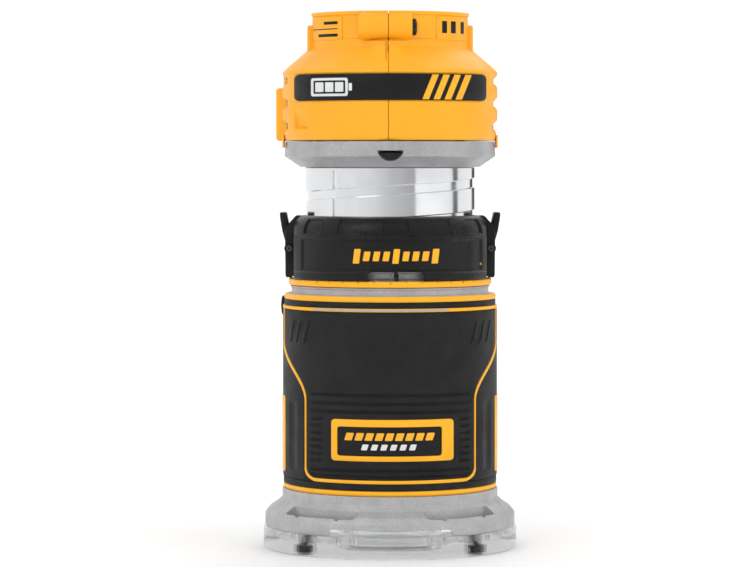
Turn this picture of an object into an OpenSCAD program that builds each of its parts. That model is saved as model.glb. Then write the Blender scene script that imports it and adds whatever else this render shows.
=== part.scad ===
// Cordless trim router: motor unit raised in its fixed base.
// +Z is up along the spindle axis, -Y is the front, and the origin is the centre
// of the sub-base's underside, which rests on the work. All sizes are millimetres.

/* [Motor] */
// Radius of the motor can, the size that fixed bases of this class clamp on
can_r = 34.5; // [34.3:0.05:34.6]
// Wall of the motor can
can_wall = 2.5; // [2.2:0.1:3]
// Advance of the helical groove for one turn of the depth ring
groove_pitch = 12.7; // [12:0.1:13]
// Width of the helical groove along the axis
groove_w = 3.7; // [3.4:0.1:4]
// Depth of the grooves in the can
groove_d = 0.8; // [0.7:0.05:0.9]
// Bore of the collet
collet_bore = 6.35; // [6:0.05:6.35]

/* [Base] */
// Radius of the clear sub-base
sub_r = 51.5; // [51:0.5:54]
// Thickness of the sub-base at its rim
sub_h = 8.5; // [8.5:0.5:8.5]
// Diameter of the guide-bush bore in the sub-base
guide_bore_d = 30.2; // [30:0.1:30.4]
// Diameter of the guide-bush counterbore
guide_recess_d = 34.9; // [34.6:0.1:35]
// Depth of the guide-bush counterbore
guide_recess_h = 2.4; // [2:0.1:2.6]
// Radius of the flange of the cast base
flange_r = 50.8; // [50:0.2:50.8]
// Height of the grip's lower edge
grip_z0 = 24.1; // [23.5:0.1:24.1]
// Height of the grip's upper edge
grip_z1 = 103; // [102.8:0.1:103]
// Radius of the grip's rubber
grip_r = 43.5; // [43.2:0.1:43.6]

/* [Depth ring] */
// Outer radius of the depth ring
ring_r = 42.5; // [42.3:0.1:42.6]
// Height of the ring's underside
ring_z0 = 109.2; // [109.2:0.1:109.4]
// Height of the ring's top
ring_z1 = 134.5; // [134:0.1:134.6]

/* [Housing] */
// Radius of the yellow housing
house_r = 43.9; // [43.6:0.1:44]
// Height of the housing's lower edge
house_z0 = 164.6; // [164.6:0.1:164.8]
// Height of the housing's shoulder
house_z1 = 192.7; // [192:0.1:193]
// Height of the top of the collar
house_z2 = 216; // [215:0.5:217]
// Wall of the housing
house_wall = 2.5; // [2.2:0.1:2.6]

/* [Hidden] */
$fn = 96;
eps = 0.02;
gap = 0.05;             // between pieces of one body that touch
fit = 0.05;             // radial clearance of a running fit
can_z0 = 58;
can_z1 = 154;
can_in = can_r - can_wall;
groove_z = 144.9;       // height of the helical groove at the front
groove_steps = 36;      // sections in one turn
slot_angles = [50, 230];
base_bore = can_r + 0.3;
neck_z = 106.3;
collar_z = 114.5;
collar_r = 37.6;
lug_z0 = 88;
lug_z1 = 103;
clamp_y = 48.5;
clamp_z = 97;
lever_x = -15.5;
split_w = 2.5;
tab_x = 40.8;
tab_z = 121.3;
key_z = 118.5;
pod_a = 157;            // direction of the control pod
pod_face = 45.4;
pod_w = 13;
dial_c = 38.5;
dial_r = 10.5;
rocker_y = 41;
rocker_z = 182;
cap_z0 = 154.1;
cap_z1 = 164.4;
cap_r = 43;
button_z = 160.4;       // flat top of the lock button
button_r = 4.96;        // its round lower edge
button_c = 161.66;
stem_z = 159;
panel_z1 = 96.8;        // top of the front panel
screw_a = [40, 140, 220, 320];
bolt_a = [90, 210, 330];
bolt_r = 29.3;
yellow = [0.96, 0.66, 0.14];
black = [0.13, 0.13, 0.13];
cast = [0.66, 0.67, 0.68];
steel = [0.74, 0.75, 0.77];

// ---------------------------------------------------------------- helpers

// A tube from r1 to r2 and z1 to z2.
module tube(r1, r2, z1, z2) {
    translate([0, 0, z1]) difference() {
        cylinder(r = r2, h = z2 - z1);
        translate([0, 0, -1]) cylinder(r = r1, h = z2 - z1 + 2);
    }
}

// A stretch of a tube between two directions.
module arc_wall(r1, r2, z1, z2, a1, a2) {
    rotate([0, 0, a1]) rotate_extrude(angle = a2 - a1)
        translate([r1, z1]) square([r2 - r1, z2 - z1]);
}

// A solid of revolution from [radius, height] points.
module lathe(points) {
    rotate_extrude() polygon(points);
}

// A plan drawn on the XZ plane, pushed from the axis to the front.
module to_front(reach = 60) {
    rotate([90, 0, 0]) linear_extrude(height = reach) children();
}

// A rectangle with rounded corners, drawn from corner to corner.
module round_rect(x1, z1, x2, z2, r) {
    translate([x1 + r, z1]) square([x2 - x1 - 2 * r, z2 - z1]);
    translate([x1, z1 + r]) square([x2 - x1, z2 - z1 - 2 * r]);
    for (x = [x1 + r, x2 - r], z = [z1 + r, z2 - r])
        translate([x, z]) circle(r = r);
}

// A radial rod from one radius to another.
module radial_rod(a, z, r, from, to) {
    rotate([0, 0, a]) translate([from, 0, z]) rotate([0, 90, 0]) cylinder(r = r, h = to - from);
}

// A helix about Z with an n-sided wire, used for springs.
module coil(radius, wire, height, turns, sides = 6, steps = 14) {
    count = turns * steps;
    rings = [for (i = [0 : count]) let (a = i * 360 / steps, z = i * height / count)
        [for (k = [0 : sides - 1]) let (b = k * 360 / sides, r = radius + wire * cos(b))
            [r * cos(a), r * sin(a), z + wire * sin(b)]]];
    points = [for (ring = rings) for (p = ring) p];
    walls = [for (i = [0 : count - 1]) for (k = [0 : sides - 1])
        let (n = (k + 1) % sides)
        [i * sides + n, (i + 1) * sides + n, (i + 1) * sides + k, i * sides + k]];
    first = [for (k = [sides - 1 : -1 : 0]) k];
    last = [for (k = [0 : sides - 1]) count * sides + k];
    polyhedron(points, concat([first], walls, [last]));
}

// ---------------------------------------------------------------- base

sub_plate = 5;
sub_screw_a = [220, 320, 40, 140];
sub_screw_r = 43.5;

module sub_base() color([0.86, 0.9, 0.93, 0.45]) {
    difference() {
        union() {
            lathe([[0, 0], [sub_r - 0.5, 0], [sub_r, 0.5], [sub_r, sub_h - 0.4],
                [sub_r - 0.4, sub_h], [sub_r - 3, sub_h], [sub_r - 3, sub_plate], [0, sub_plate]]);
            tube(18.5, 21, sub_plate - eps, sub_h - 0.6);
            for (a = sub_screw_a)
                rotate([0, 0, a]) translate([sub_screw_r, 0, sub_plate - eps])
                    cylinder(r = 5.6, h = sub_h - sub_plate + eps);
            for (x = [-22, 17.5])
                translate([x, -44.5, sub_plate - eps]) cube([4.5, 4, sub_h - sub_plate - 0.4]);
        }
        translate([0, 0, -1]) cylinder(d = guide_bore_d, h = 12);
        translate([0, 0, -1]) cylinder(d = guide_recess_d, h = 1 + guide_recess_h);
        for (a = sub_screw_a)
            rotate([0, 0, a]) translate([sub_screw_r, 0, 0]) {
                translate([0, 0, -1]) cylinder(r = 2.2, h = 12);
                translate([0, 0, -1]) cylinder(r = 4.1, h = 4.6);
            }
    }
}

module sub_base_screws() color(black) {
    for (a = sub_screw_a)
        rotate([0, 0, a]) translate([sub_screw_r, 0, 0]) difference() {
            union() {
                translate([0, 0, 0.8]) cylinder(r = 3.9, h = 2.75);
                translate([0, 0, 3.5]) cylinder(r = 2, h = 9.5);
            }
            cylinder(r = 1.3, h = 2.6, $fn = 6);
        }
}

module flange_pocket(a) {
    arc_wall(45.6, 49.1, 12.6, 20, a - 20.5, a + 20.5);
    for (b = [a - 11.5, a + 11.5])
        rotate([0, 0, b]) translate([48, 0, 7]) cylinder(r = 1.4, h = 10);
}

module base_casting() color(cast) difference() {
    union() {
        lathe([[36, sub_h], [50, sub_h], [flange_r, 9.7], [flange_r, 13.4], [50, 15], [48.8, 17],
            [46.6, 18.6], [44.6, 20.2], [43.7, 22.4], [43.7, grip_z0 - gap], [41, grip_z0 - gap],
            [41, 103.2], [40, 103.4], [40.2, neck_z], [collar_r, neck_z], [collar_r, 109.4],
            [36.2, 109.8], [36.2, 111.8], [collar_r, 112.2], [collar_r, 113.6],
            [36.8, collar_z], [base_bore, collar_z], [base_bore, 57], [37.5, 54], [37.5, 14],
            [36, 12.5]]);
        translate([-9, 38, lug_z0]) cube([18, 16.5, lug_z1 - lug_z0]);
    }
    cylinder(r = base_bore, h = 130);
    to_front() round_rect(-24.2, 0, 24.2, 11.6, 1.5);
    // rear window for the bit, and the slit above it that the clamp closes
    translate([0, 60, 0]) to_front(30) round_rect(-23, 14, 23, 62, 6);
    translate([-split_w / 2, 30, 50]) cube([split_w, 30, 80]);
    for (a = [233, 307]) flange_pocket(a);
    for (a = sub_screw_a)
        rotate([0, 0, a]) translate([sub_screw_r, 0, 7]) cylinder(r = 2.05, h = 7);
    for (a = slot_angles) radial_rod(a, 98, 1.05, 30, 45);
    translate([-10, clamp_y, clamp_z]) rotate([0, 90, 0]) cylinder(r = 3.1, h = 20);
}

module guide_pins() color(steel) {
    for (a = slot_angles) radial_rod(a, 98, 1, can_r - 0.5, 40.8);
}

// Half-width of the front panel at a height: straight sides that flare out near the top.
function panel_w(z) = z < 64 ? 34.2 : z > 84 ? 41.6 : 34.2 + 3.7 * (1 - cos((z - 64) * 9));

// Front panel's outline, from the bottom's right corner up one side and down the other.
function panel_side(grow, z1, r) = concat(
    [for (a = [-90 : 15 : 0]) [34.2 + grow - r + r * cos(a), 30.4 - 2 * grow + r + r * sin(a)]],
    [for (z = [64 : 2 : 84]) [panel_w(z) + grow, z]],
    [[41.6 + grow, z1]]);

module panel_plan(grow = 0, z1 = panel_z1) {
    side = panel_side(grow, z1, 4);
    last = len(side) - 1;
    polygon(concat(side, [for (i = [last : -1 : 0]) [-side[i][0], side[i][1]]]));
}

module grip_carrier() color(yellow) difference() {
    union() {
        tube(41 + gap, 42, grip_z0, grip_z1);
        lathe([[41.5, grip_z0], [43.2, grip_z0], [43.7, 24.6], [43.7, 26], [43.4, 26.3], [41.5, 26.3]]);
        lathe([[41.5, 100.8], [42.6, 100.8], [43, 101.3], [42.9, 102.6], [42.4, 103], [41.5, 103]]);
        lathe([[41.5, 97], [43.5, 97], [43.5, 98.3], [41.5, 98.3]]);
        intersection() {
            tube(41.5, grip_r + 0.15, 29, 97.5);
            difference() {
                to_front() panel_plan(0.7, 97.5);
                to_front(70) panel_plan(0);
            }
        }
    }
    rear_opening();
}

// Gap in the grip at the back, which clears the clamp's lugs and the window.
module rear_opening() {
    arc_wall(30, 60, 0, 120, 58, 122);
}

module grip_front() color(black) difference() {
    intersection() {
        tube(42 + gap, grip_r, 29, panel_z1 - gap);
        to_front() panel_plan(-gap, panel_z1 - gap);
    }
    for (z = [55.5, 59, 62.5]) tube(grip_r - 0.7, grip_r + 1, z, z + 1.1);
    for (a = [224, 314], z = [40.5 : 2.6 : 53])
        arc_wall(grip_r - 0.7, grip_r + 1, z, z + 1.1, a - 3, a + 5);
    to_front() round_rect(-23.7, 38, 25.3, 54.7, 1.6);
}

module grip_side(a1, a2) color(black) difference() {
    arc_wall(42 + gap, grip_r + 0.1, 29 + gap, 97 - gap, a1, a2);
    to_front() panel_plan(0.75, 97);
}

module grip_left() {
    grip_side(122.5, 268);
}

module grip_right() {
    grip_side(-88, 57.5);
}

module grip_bands() color(black) difference() {
    union() {
        tube(42 + gap, 43.3, 26.3 + gap, 29);
        tube(42 + gap, 42.9, 98.3 + gap, 100.8 - gap);
    }
    rear_opening();
}

module badge_frame() color(yellow) intersection() {
    tube(42 + gap, 44.2, 37, 56);
    to_front() difference() {
        round_rect(-23.6, 38.1, 25.2, 54.6, 1.5);
        round_rect(-21.2, 40.1, 20.5, 51.8, 1.2);
    }
}

module badge_plate() color(black) intersection() {
    tube(42 + gap, 43.8, 37, 56);
    to_front() round_rect(-21.15, 40.15, 20.45, 51.75, 1.15);
}

module side_labels() color(yellow) {
    for (a = [0, 180])
        arc_wall(grip_r + 0.1 + gap, 43.85, 31, 62, a - 14.5, a + 14.5);
}

module clamp_bolt() color(steel) difference() {
    union() {
        translate([lever_x, clamp_y, clamp_z]) rotate([0, 90, 0]) cylinder(r = 3, h = 30.5);
        translate([lever_x, clamp_y, clamp_z - 2.7]) cylinder(r = 4.2, h = 5.4);
    }
    translate([lever_x, clamp_y, clamp_z - 5]) cylinder(r = 1.55, h = 10);
}

module clamp_nut() color(steel) translate([9 + gap, clamp_y, clamp_z]) rotate([0, 90, 0])
    difference() {
        cylinder(r = 5.8, h = 5, $fn = 6);
        translate([0, 0, -1]) cylinder(r = 3 + gap, h = 8);
    }

module clamp_lever_pin() color(steel) translate([lever_x, clamp_y, clamp_z - 4.9])
    cylinder(r = 1.5, h = 9.8);

module clamp_lever() color(black) difference() {
    union() {
        translate([lever_x, clamp_y, clamp_z - 4.5]) cylinder(r = 6.1, h = 9);
        arc_wall(45, 50.2, clamp_z - 4.5, clamp_z + 4.5, 110, 132);
        arc_wall(45, 49, clamp_z - 4.2, clamp_z + 4.2, 130, 156);
    }
    translate([lever_x, clamp_y, clamp_z - 6]) cylinder(r = 1.5 + fit, h = 12);
    translate([lever_x, clamp_y, clamp_z - 3]) cylinder(r = 6.5, h = 6);
    translate([lever_x, clamp_y - 4.6, clamp_z - 3]) cube([12, 9.2, 6]);
}

// ---------------------------------------------------------------- depth ring

module scale_ring() color(yellow) lathe([[collar_r + 0.3, 106.5], [40.9, 106.5], [41.2, 106.8],
    [41.2, 108.7], [40.9, 109], [collar_r + 0.3, 109]]);

// Outside of the ring: a vertical band and a rounded shoulder.
function ring_outside() = concat([[42, ring_z0], [ring_r, 112], [ring_r, 126.5]],
    [for (a = [15 : 15 : 75]) [36.2 + (ring_r - 36.2) * cos(a), 126.5 + 8 * sin(a)]],
    [[36, ring_z1]]);

module depth_ring() color(black) difference() {
    lathe(concat([[base_bore, ring_z1], [base_bore, 115.4], [38.3, 115.4], [38.3, ring_z0]],
        ring_outside()));
    for (s = [-1, 1]) {
        translate([s * 41.2, 0, 127]) cube([8, 14.6, 40], center = true);
        translate([s * 42.9, 0, 112]) cube([10, 14.6, 30], center = true);
        for (y = [-14.6, 14.6]) translate([s * 43.6, y, 122]) cube([10, 10, 40], center = true);
    }
    // pin bores for the tabs, and a window over the collar at the front
    for (s = [-1, 1])
        translate([s * tab_x, -10, tab_z]) rotate([-90, 0, 0]) cylinder(r = 0.8, h = 20);
    to_front() round_rect(-8.7, 106, 13.2, 112.6, 1.5);
    radial_rod(241.7, key_z, 1.52, 30, 39.5);
    radial_rod(61.7, key_z + groove_pitch / 2, 1.52, 30, 39.5);
    for (i = [0 : 12])
        if (i != 3 && i != 10)
            rotate([0, 0, -87 + i * 26.5]) translate([41.5, 0, 133.4]) rotate([0, 42, 0])
                cube([5, 11, 1.4], center = true);
}

module ring_keys() color(steel) {
    radial_rod(241.7, key_z, 1.5, can_r - 0.5, 39.4);
    radial_rod(61.7, key_z + groove_pitch / 2, 1.5, can_r - 0.5, 39.4);
}

module tab_pins() color(steel) {
    for (s = [-1, 1])
        translate([s * tab_x, -9.5, tab_z]) rotate([-90, 0, 0]) cylinder(r = 0.75, h = 19);
}

module tab_springs() color(steel) {
    for (s = [-1, 1], y = [-6.9, 5.2])
        translate([s * tab_x, y, tab_z]) rotate([-90, 0, 0])
            translate([0, 0, 0.4]) coil(1.2, 0.2, 1.0, 2);
}

module release_tab(s) color(black) mirror([s < 0 ? 1 : 0, 0, 0]) difference() {
    union() {
        intersection() {
            translate([39.5, -7, ring_z0 + 0.2]) cube([6, 14, 24.6]);
            lathe(concat([[0, ring_z1], [0, ring_z0]], ring_outside()));
        }
        // ear that the finger presses
        translate([0, 7, 0]) to_front(14)
            polygon([[39.9, 124.6], [42.4, 124.6], [44.7, 134.6], [44.7, 135.8], [42.2, 135.8],
                [39.9, 129]]);
        // hook under the collar's rim
        intersection() {
            translate([30, -4, 109.95]) cube([10, 8, 1.65]);
            tube(36.7, 50, 109, 113);
        }
        translate([38.6, -4, 109.95]) cube([1.4, 8, 6]);
    }
    translate([tab_x, -10, tab_z]) rotate([-90, 0, 0]) cylinder(r = 0.75 + fit, h = 20);
    for (y = [-8, 5])
        translate([tab_x - 1.6, y, tab_z - 1.6]) cube([3.2, 3, 3.2]);
    tube(30, 36.7, 100, 140);
}

module release_tab_left() {
    release_tab(-1);
}

module release_tab_right() {
    release_tab(1);
}

// ---------------------------------------------------------------- housing

module pod(grow) {
    rotate([0, 0, pod_a]) translate([25, -pod_w + grow, house_z0 + 0.3 + grow])
        cube([pod_face - 25 - grow, 2 * (pod_w - grow), 21.3 - 2 * grow]);
}

// Outer form of both halves together.
module housing_outside() {
    lathe([[0, house_z0], [43.7, house_z0], [house_r, 170], [house_r, house_z1],
        [34.4, 200.4], [32.6, 202], [32.6, 204], [0, 204]]);
    arc_wall(27, 32.4, 203, house_z2 - 1.4, 194, 346);
    arc_wall(27, 32.7, house_z2 - 1.4 - eps, house_z2, 194, 346);
    pod(0);
    translate([-33.4, -9, 199]) cube([66.8, 45, 12]);
    translate([-12.6, -30, 209.5]) rotate([0, 90, 0]) cylinder(d = 10.7, h = 21.3);
    for (a = [0, 180]) arc_wall(43.35, house_r - 0.1, 161.8, house_z0 + 1, a - 9, a + 9);
}

// Battery slot on top, open to the rear and above, and the terminal block's hole.
module battery_space() {
    translate([-27, -6, 202.5]) cube([54, 60, 20]);
    translate([-30.5, -6, 203.5]) cube([61, 60, 4]);
    translate([0, 0, 206]) cylinder(r = 27.8, h = 20);
    translate([-16.2, -12.2, 190]) cube([32.4, 26.4, 20]);
}

// Horizontal air slots in both sides.
module vents() {
    for (z = [169.4, 178.5, 187.6]) {
        arc_wall(40, 46, z, z + 2.4, -14, 24);
        arc_wall(40, 46, z, z + 2.4, 177, 194);
    }
}

module housing_half(s) color(yellow) difference() {
    intersection() {
        housing_outside();
        translate([s > 0 ? gap / 2 : -60 - gap / 2, -60, 150]) cube([60, 120, 80]);
    }
    lathe([[0, house_z0 - 1], [house_r - house_wall, house_z0 - 1],
        [house_r - house_wall, house_z1 - 1], [34.4 - house_wall, 199], [0, 199]]);
    pod(2);
    battery_space();
    vents();
    // slots for the speed dial and the rocker
    rotate([0, 0, pod_a]) translate([30, -8.9, 170.2]) cube([20, 17.8, 9.6]);
    translate([-7.5, 38, rocker_z - 8]) cube([15, 10, 16]);
    // screw's hole and head recess in the front boss
    translate([-11.2, -30, 209.5]) rotate([0, 90, 0]) cylinder(r = 2.1, h = 19);
    translate([6, -30, 209.5]) rotate([0, 90, 0]) cylinder(r = 3.9, h = 5);
}

module housing_left() {
    housing_half(-1);
}

module housing_right() {
    housing_half(1);
}

module housing_screws() color(black) {
    translate([-11, -30, 209.5]) rotate([0, 90, 0]) cylinder(r = 2, h = 18);
    translate([6 + gap, -30, 209.5]) rotate([0, 90, 0]) difference() {
        cylinder(r = 3.7, h = 2.2);
        translate([0, 0, 1]) cylinder(r = 1.4, h = 3, $fn = 6);
    }
}

module band_panel() color(black) intersection() {
    tube(house_r + gap, house_r + 0.5, 178, 193);
    to_front() round_rect(-38.5, 180.4, 38.5, 190.9, 2.5);
}

module terminal_block() color(black) difference() {
    translate([-16, -12, 190.2]) cube([32, 26, 22]);
    for (x = [-12, -4, 4, 12])
        translate([x - 1, 2, 199]) cube([2, 20, 20]);
}

module terminal_blades() color([0.85, 0.7, 0.35]) {
    for (x = [-12, -4, 4, 12])
        translate([x - 0.4, 2 + gap, 199 + gap]) cube([0.8, 10, 10]);
}

module controller_board() color([0.1, 0.35, 0.2]) {
    translate([0, 0, 166.2]) cylinder(r = 24, h = 1.6);
    translate([0, 0, 167.8]) cylinder(r = 5, h = 14);
    translate([-20, -8, 167.8]) cube([12, 16, 5]);
    translate([8, -8, 167.8]) cube([12, 16, 5]);
}

module switch_body() color(black) {
    translate([-6.5, 27, rocker_z - 7]) cube([13, 9, 14]);
}

module power_switch() color(black) difference() {
    translate([0, rocker_y, rocker_z]) rotate([90, 0, 90]) linear_extrude(height = 14, center = true)
        polygon([[-1.5, -6.8], [3, -7.2], [3.8, -3.6], [3.3, 0], [3.8, 3.6], [3, 7.2], [-1.5, 6.8],
            [-3.5, 2], [-3.5, -2]]);
    translate([-10, rocker_y, rocker_z]) rotate([0, 90, 0]) cylinder(r = 1, h = 20);
}

module speed_dial() color(black) rotate([0, 0, pod_a]) translate([dial_c, 0, 171]) difference() {
    cylinder(r = dial_r, h = 8);
    for (a = [0 : 15 : 345])
        rotate([0, 0, a]) translate([dial_r + 0.2, 0, -1]) cylinder(r = 0.7, h = 10);
    translate([0, 0, -1]) cylinder(r = 3 + fit, h = 10);
}

module dial_potentiometer() color(steel) rotate([0, 0, pod_a]) translate([dial_c, 0, 167]) {
    translate([-6, -7, 0]) cube([10.8, 14, 3.5]);
    cylinder(r = 3, h = 11.5);
}

// ---------------------------------------------------------------- motor

module motor_cap() color(cast) difference() {
    union() {
        lathe([[28, 148], [can_in - gap, 148], [can_in - gap, cap_z0], [35.4, cap_z0], [39, 155.6],
            [cap_r, 158.6], [cap_r, cap_z1], [40.6, cap_z1], [40.6, 159.2], [14, 159.2],
            [14, cap_z1 - 3], [7, cap_z1 - 3], [7, 157.2], [11, 157.2], [11, 147.5], [14, 147.5],
            [14, 156.2], [28, 156.2]]);
        translate([-5.4, -cap_r - 0.4, 156]) cube([10.8, 8, 8.4]);
    }
    // button's bore, spring pocket and stem, air windows, screw holes
    translate([0, -30.5, 0]) to_front(20) button_plan(0.2);
    translate([0, -26, stem_z]) rotate([90, 0, 0]) cylinder(r = 3.5, h = 8);
    translate([0, 0, stem_z]) rotate([90, 0, 0]) cylinder(r = 2.3, h = 40);
    for (a = [0, 90, 180, 270])
        arc_wall(16, 25.5, 140, 170, a + 22, a + 68);
    for (a = bolt_a)
        rotate([0, 0, a]) translate([bolt_r, 0, 140]) cylinder(r = 2.1, h = 30);
    for (a = screw_a)
        rotate([0, 0, a]) translate([37.5, 0, 150]) cylinder(r = 1.6, h = 20);
}

// Front view of the lock button: a flat top and a round lower edge.
module button_plan(grow = 0) {
    intersection() {
        translate([0, button_c]) circle(r = button_r + grow);
        translate([-8, 150]) square([16, button_z + grow - 150]);
    }
}

module cap_screws() color(black) {
    for (a = screw_a)
        rotate([0, 0, a]) translate([37.5, 0, 0]) {
            translate([0, 0, 155.5]) cylinder(r = 1.5, h = 12);
        }
}

module spindle_lock_button() color(black) difference() {
    union() {
        translate([0, -34, 0]) to_front(10.2) button_plan();
        translate([0, -11, stem_z]) rotate([90, 0, 0]) cylinder(r = 2, h = 24);
    }
    translate([-10, -cap_r - 21.1, 150]) cube([20, 20, 20]);
}

module spindle_lock_spring() color(steel) translate([0, -33.6, stem_z]) rotate([-90, 0, 0])
    coil(2.9, 0.3, 7, 4);

// Solid that the helical groove takes from the can.
module helix_cutter(z1, z2) {
    first = ceil((z1 - groove_z) / groove_pitch * groove_steps);
    last = floor((z2 - groove_z) / groove_pitch * groove_steps);
    r1 = can_r - groove_d;
    r2 = can_r + 1;
    points = [for (i = [first : last]) let (a = 270 + i * 360 / groove_steps,
        z = groove_z + i * groove_pitch / groove_steps)
        for (c = [[r1, -1], [r2, -1], [r2, 1], [r1, 1]])
            [c[0] * cos(a), c[0] * sin(a), z + c[1] * groove_w / 2]];
    count = last - first;
    walls = [for (i = [0 : count - 1]) for (k = [0 : 3])
        let (n = (k + 1) % 4, p = 4 * i, q = 4 * i + 4)
        each [[q + n, q + k, p + k], [p + n, q + n, p + k]]];
    polyhedron(points, concat([[3, 2, 1, 0]], walls,
        [[4 * count, 4 * count + 1, 4 * count + 2, 4 * count + 3]]));
}

module motor_can() color([0.86, 0.87, 0.88]) difference() {
    tube(can_in, can_r, can_z0, can_z1);
    helix_cutter(96, 151.6);
    for (a = slot_angles)
        rotate([0, 0, a]) translate([can_r - groove_d, -1.2, can_z0 - 1]) cube([3, 2.4, 97]);
}

module stator_core() color([0.45, 0.46, 0.48]) translate([0, 0, 92]) linear_extrude(height = 30)
    difference() {
        circle(r = can_in - gap);
        difference() {
            circle(r = 27);
            for (i = [0 : 8])
                rotate(i * 40 + 30) translate([14, -2.2]) square([14, 4.4]);
        }
        circle(r = 14.7);
        for (a = bolt_a)
            rotate(a) translate([bolt_r, 0]) circle(r = 2.15);
    }

module stator_windings() color([0.72, 0.4, 0.2]) {
    for (i = [0 : 8])
        rotate([0, 0, i * 40 + 30]) difference() {
            translate([18.5, -4.3, 88.5]) cube([7.5, 8.6, 37]);
            translate([17.5, -2.25, 91.95]) cube([9.5, 4.5, 30.1]);
        }
}

module through_bolts() color(steel) {
    for (a = bolt_a)
        rotate([0, 0, a]) translate([bolt_r, 0, 0]) {
            translate([0, 0, 62.2]) cylinder(r = 1.95, h = 94.1);
            translate([0, 0, 159.25]) cylinder(r = 3, h = 2.6, $fn = 6);
            translate([0, 0, 156.2]) cylinder(r = 1.95, h = 3.2);
        }
}

module rotor_core() color([0.4, 0.41, 0.43]) {
    tube(6 + gap, 11.5, 92, 122);
}

module rotor_magnets() color([0.55, 0.56, 0.58]) {
    for (a = [0, 90, 180, 270])
        arc_wall(11.5 + gap, 13.9, 92.5, 121.5, a + 4, a + 86);
}

module spindle() color(steel) difference() {
    lathe([[0, 34], [8, 34], [8, 46], [8.45, 46.6], [8.45, 63.5], [9.4, 63.6], [9.4, 66],
        [6, 66.2], [6, 140], [3.95, 140.4], [3.95, 156], [0, 156]]);
    translate([0, 0, 33]) cylinder(r = 5.7, h = 17.5);
    translate([0, 0, 50]) cylinder(r = 3.5, h = 22);
}

module fan() color(black) {
    tube(6 + gap, 9.4, 68, 76);
    tube(9.3, 26, 68, 69.6);
    for (i = [0 : 10])
        rotate([0, 0, i * 360 / 11]) translate([12, 0, 69.5]) rotate([0, 0, 28])
            translate([0, -0.6, 0]) cube([13.6, 1.2, 6.5]);
}

// Ball bearing: two races and its balls.
module bearing(z, bore, od, width, balls) {
    mid = (bore + od) / 2;
    step = (od - bore) / 6;
    difference() {
        union() {
            tube(bore, mid - step, z, z + width);
            tube(mid + step, od, z, z + width);
        }
        translate([0, 0, z + width / 2]) rotate_extrude()
            translate([mid, 0]) circle(r = step * 1.25 + gap);
    }
    for (i = [0 : balls - 1])
        rotate([0, 0, i * 360 / balls]) translate([mid, 0, z + width / 2])
            sphere(r = step * 1.25);
}

module upper_bearing() color(steel) {
    bearing(149, 4, 10.95, 7, 8);
}

module lower_bearing() color(steel) {
    bearing(52.2, 8.5, 17.45, 10, 10);
}

module nose_plate() color(cast) difference() {
    lathe([[11, 48], [21, 48], [22, 49], [22, 54.5], [33.2, 54.5], [34.2, 55.5], [34.2, 58 - gap],
        [can_in - gap, 58 - gap], [can_in - gap, 66], [25, 66], [25, 60], [20.5, 60],
        [20.5, 65.5], [17.5, 65.5], [17.5, 52.1], [11, 52.1]]);
    for (a = bolt_a)
        rotate([0, 0, a]) translate([bolt_r, 0, 62.1]) cylinder(r = 2, h = 5);
    for (a = [30, 150, 270])
        arc_wall(23.2, 27.5, 50, 70, a - 20, a + 20);
}

module retaining_ring() color(steel) arc_wall(15.2, 17.4, 62.3, 63.6, 100, 440);

module led_board() color([0.1, 0.35, 0.2]) arc_wall(28.2, 32.2, 53, 54.45, 0, 360);

module led_lens() color([0.95, 0.97, 1, 0.5]) difference() {
    tube(28, 33, 50.6, 54.45);
    tube(28.15, 32.3, 52.9, 56);
}

module collet() color(steel) difference() {
    lathe([[collet_bore / 2, 29.5], [5.9, 29.5], [6.6, 31.2], [5.6, 33.8], [5.6, 50], [collet_bore / 2, 50]]);
    for (a = [0, 60, 120])
        rotate([0, 0, a]) translate([-10, -0.4, 25]) cube([20, 0.8, 18]);
}

module collet_nut() color([0.35, 0.35, 0.37]) difference() {
    union() {
        translate([0, 0, 28]) cylinder(r = 9.8, h = 12, $fn = 6);
        lathe([[0, 27.4], [7.6, 27.4], [8.4, 28.2], [8.4, 30], [0, 30]]);
        translate([0, 0, 39.9]) cylinder(r = 9.8, h = 5.6);
    }
    translate([0, 0, 26]) cylinder(r = 5.95, h = 3.4);
    translate([0, 0, 29.35]) cylinder(r = 7.2, h = 4.8);
    translate([0, 0, 33.9]) cylinder(r = 8 + gap, h = 15);
}

// ---------------------------------------------------------------- nodes

sub_base();
sub_base_screws();
base_casting();
guide_pins();
grip_carrier();
grip_front();
grip_left();
grip_right();
grip_bands();
badge_frame();
badge_plate();
side_labels();
clamp_bolt();
clamp_nut();
clamp_lever();
clamp_lever_pin();
scale_ring();
depth_ring();
ring_keys();
tab_pins();
tab_springs();
release_tab_left();
release_tab_right();
housing_left();
housing_right();
housing_screws();
band_panel();
terminal_block();
terminal_blades();
controller_board();
switch_body();
power_switch();
speed_dial();
dial_potentiometer();
motor_cap();
cap_screws();
spindle_lock_button();
spindle_lock_spring();
motor_can();
stator_core();
stator_windings();
through_bolts();
rotor_core();
rotor_magnets();
spindle();
fan();
upper_bearing();
lower_bearing();
nose_plate();
retaining_ring();
led_board();
led_lens();
collet();
collet_nut();
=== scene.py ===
"""Looks of the trim router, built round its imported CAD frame.

Lengths are millimetres here, and MM turns them into Blender's metres. Directions are degrees
about the spindle axis: 0 is +X, to the right, and 270 is the front, where the badge is.
"""

from math import asin, ceil, cos, degrees, floor, pi, radians, sin, tan

import bmesh
import bpy
import numpy as np
from mathutils import Matrix, Vector


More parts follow.
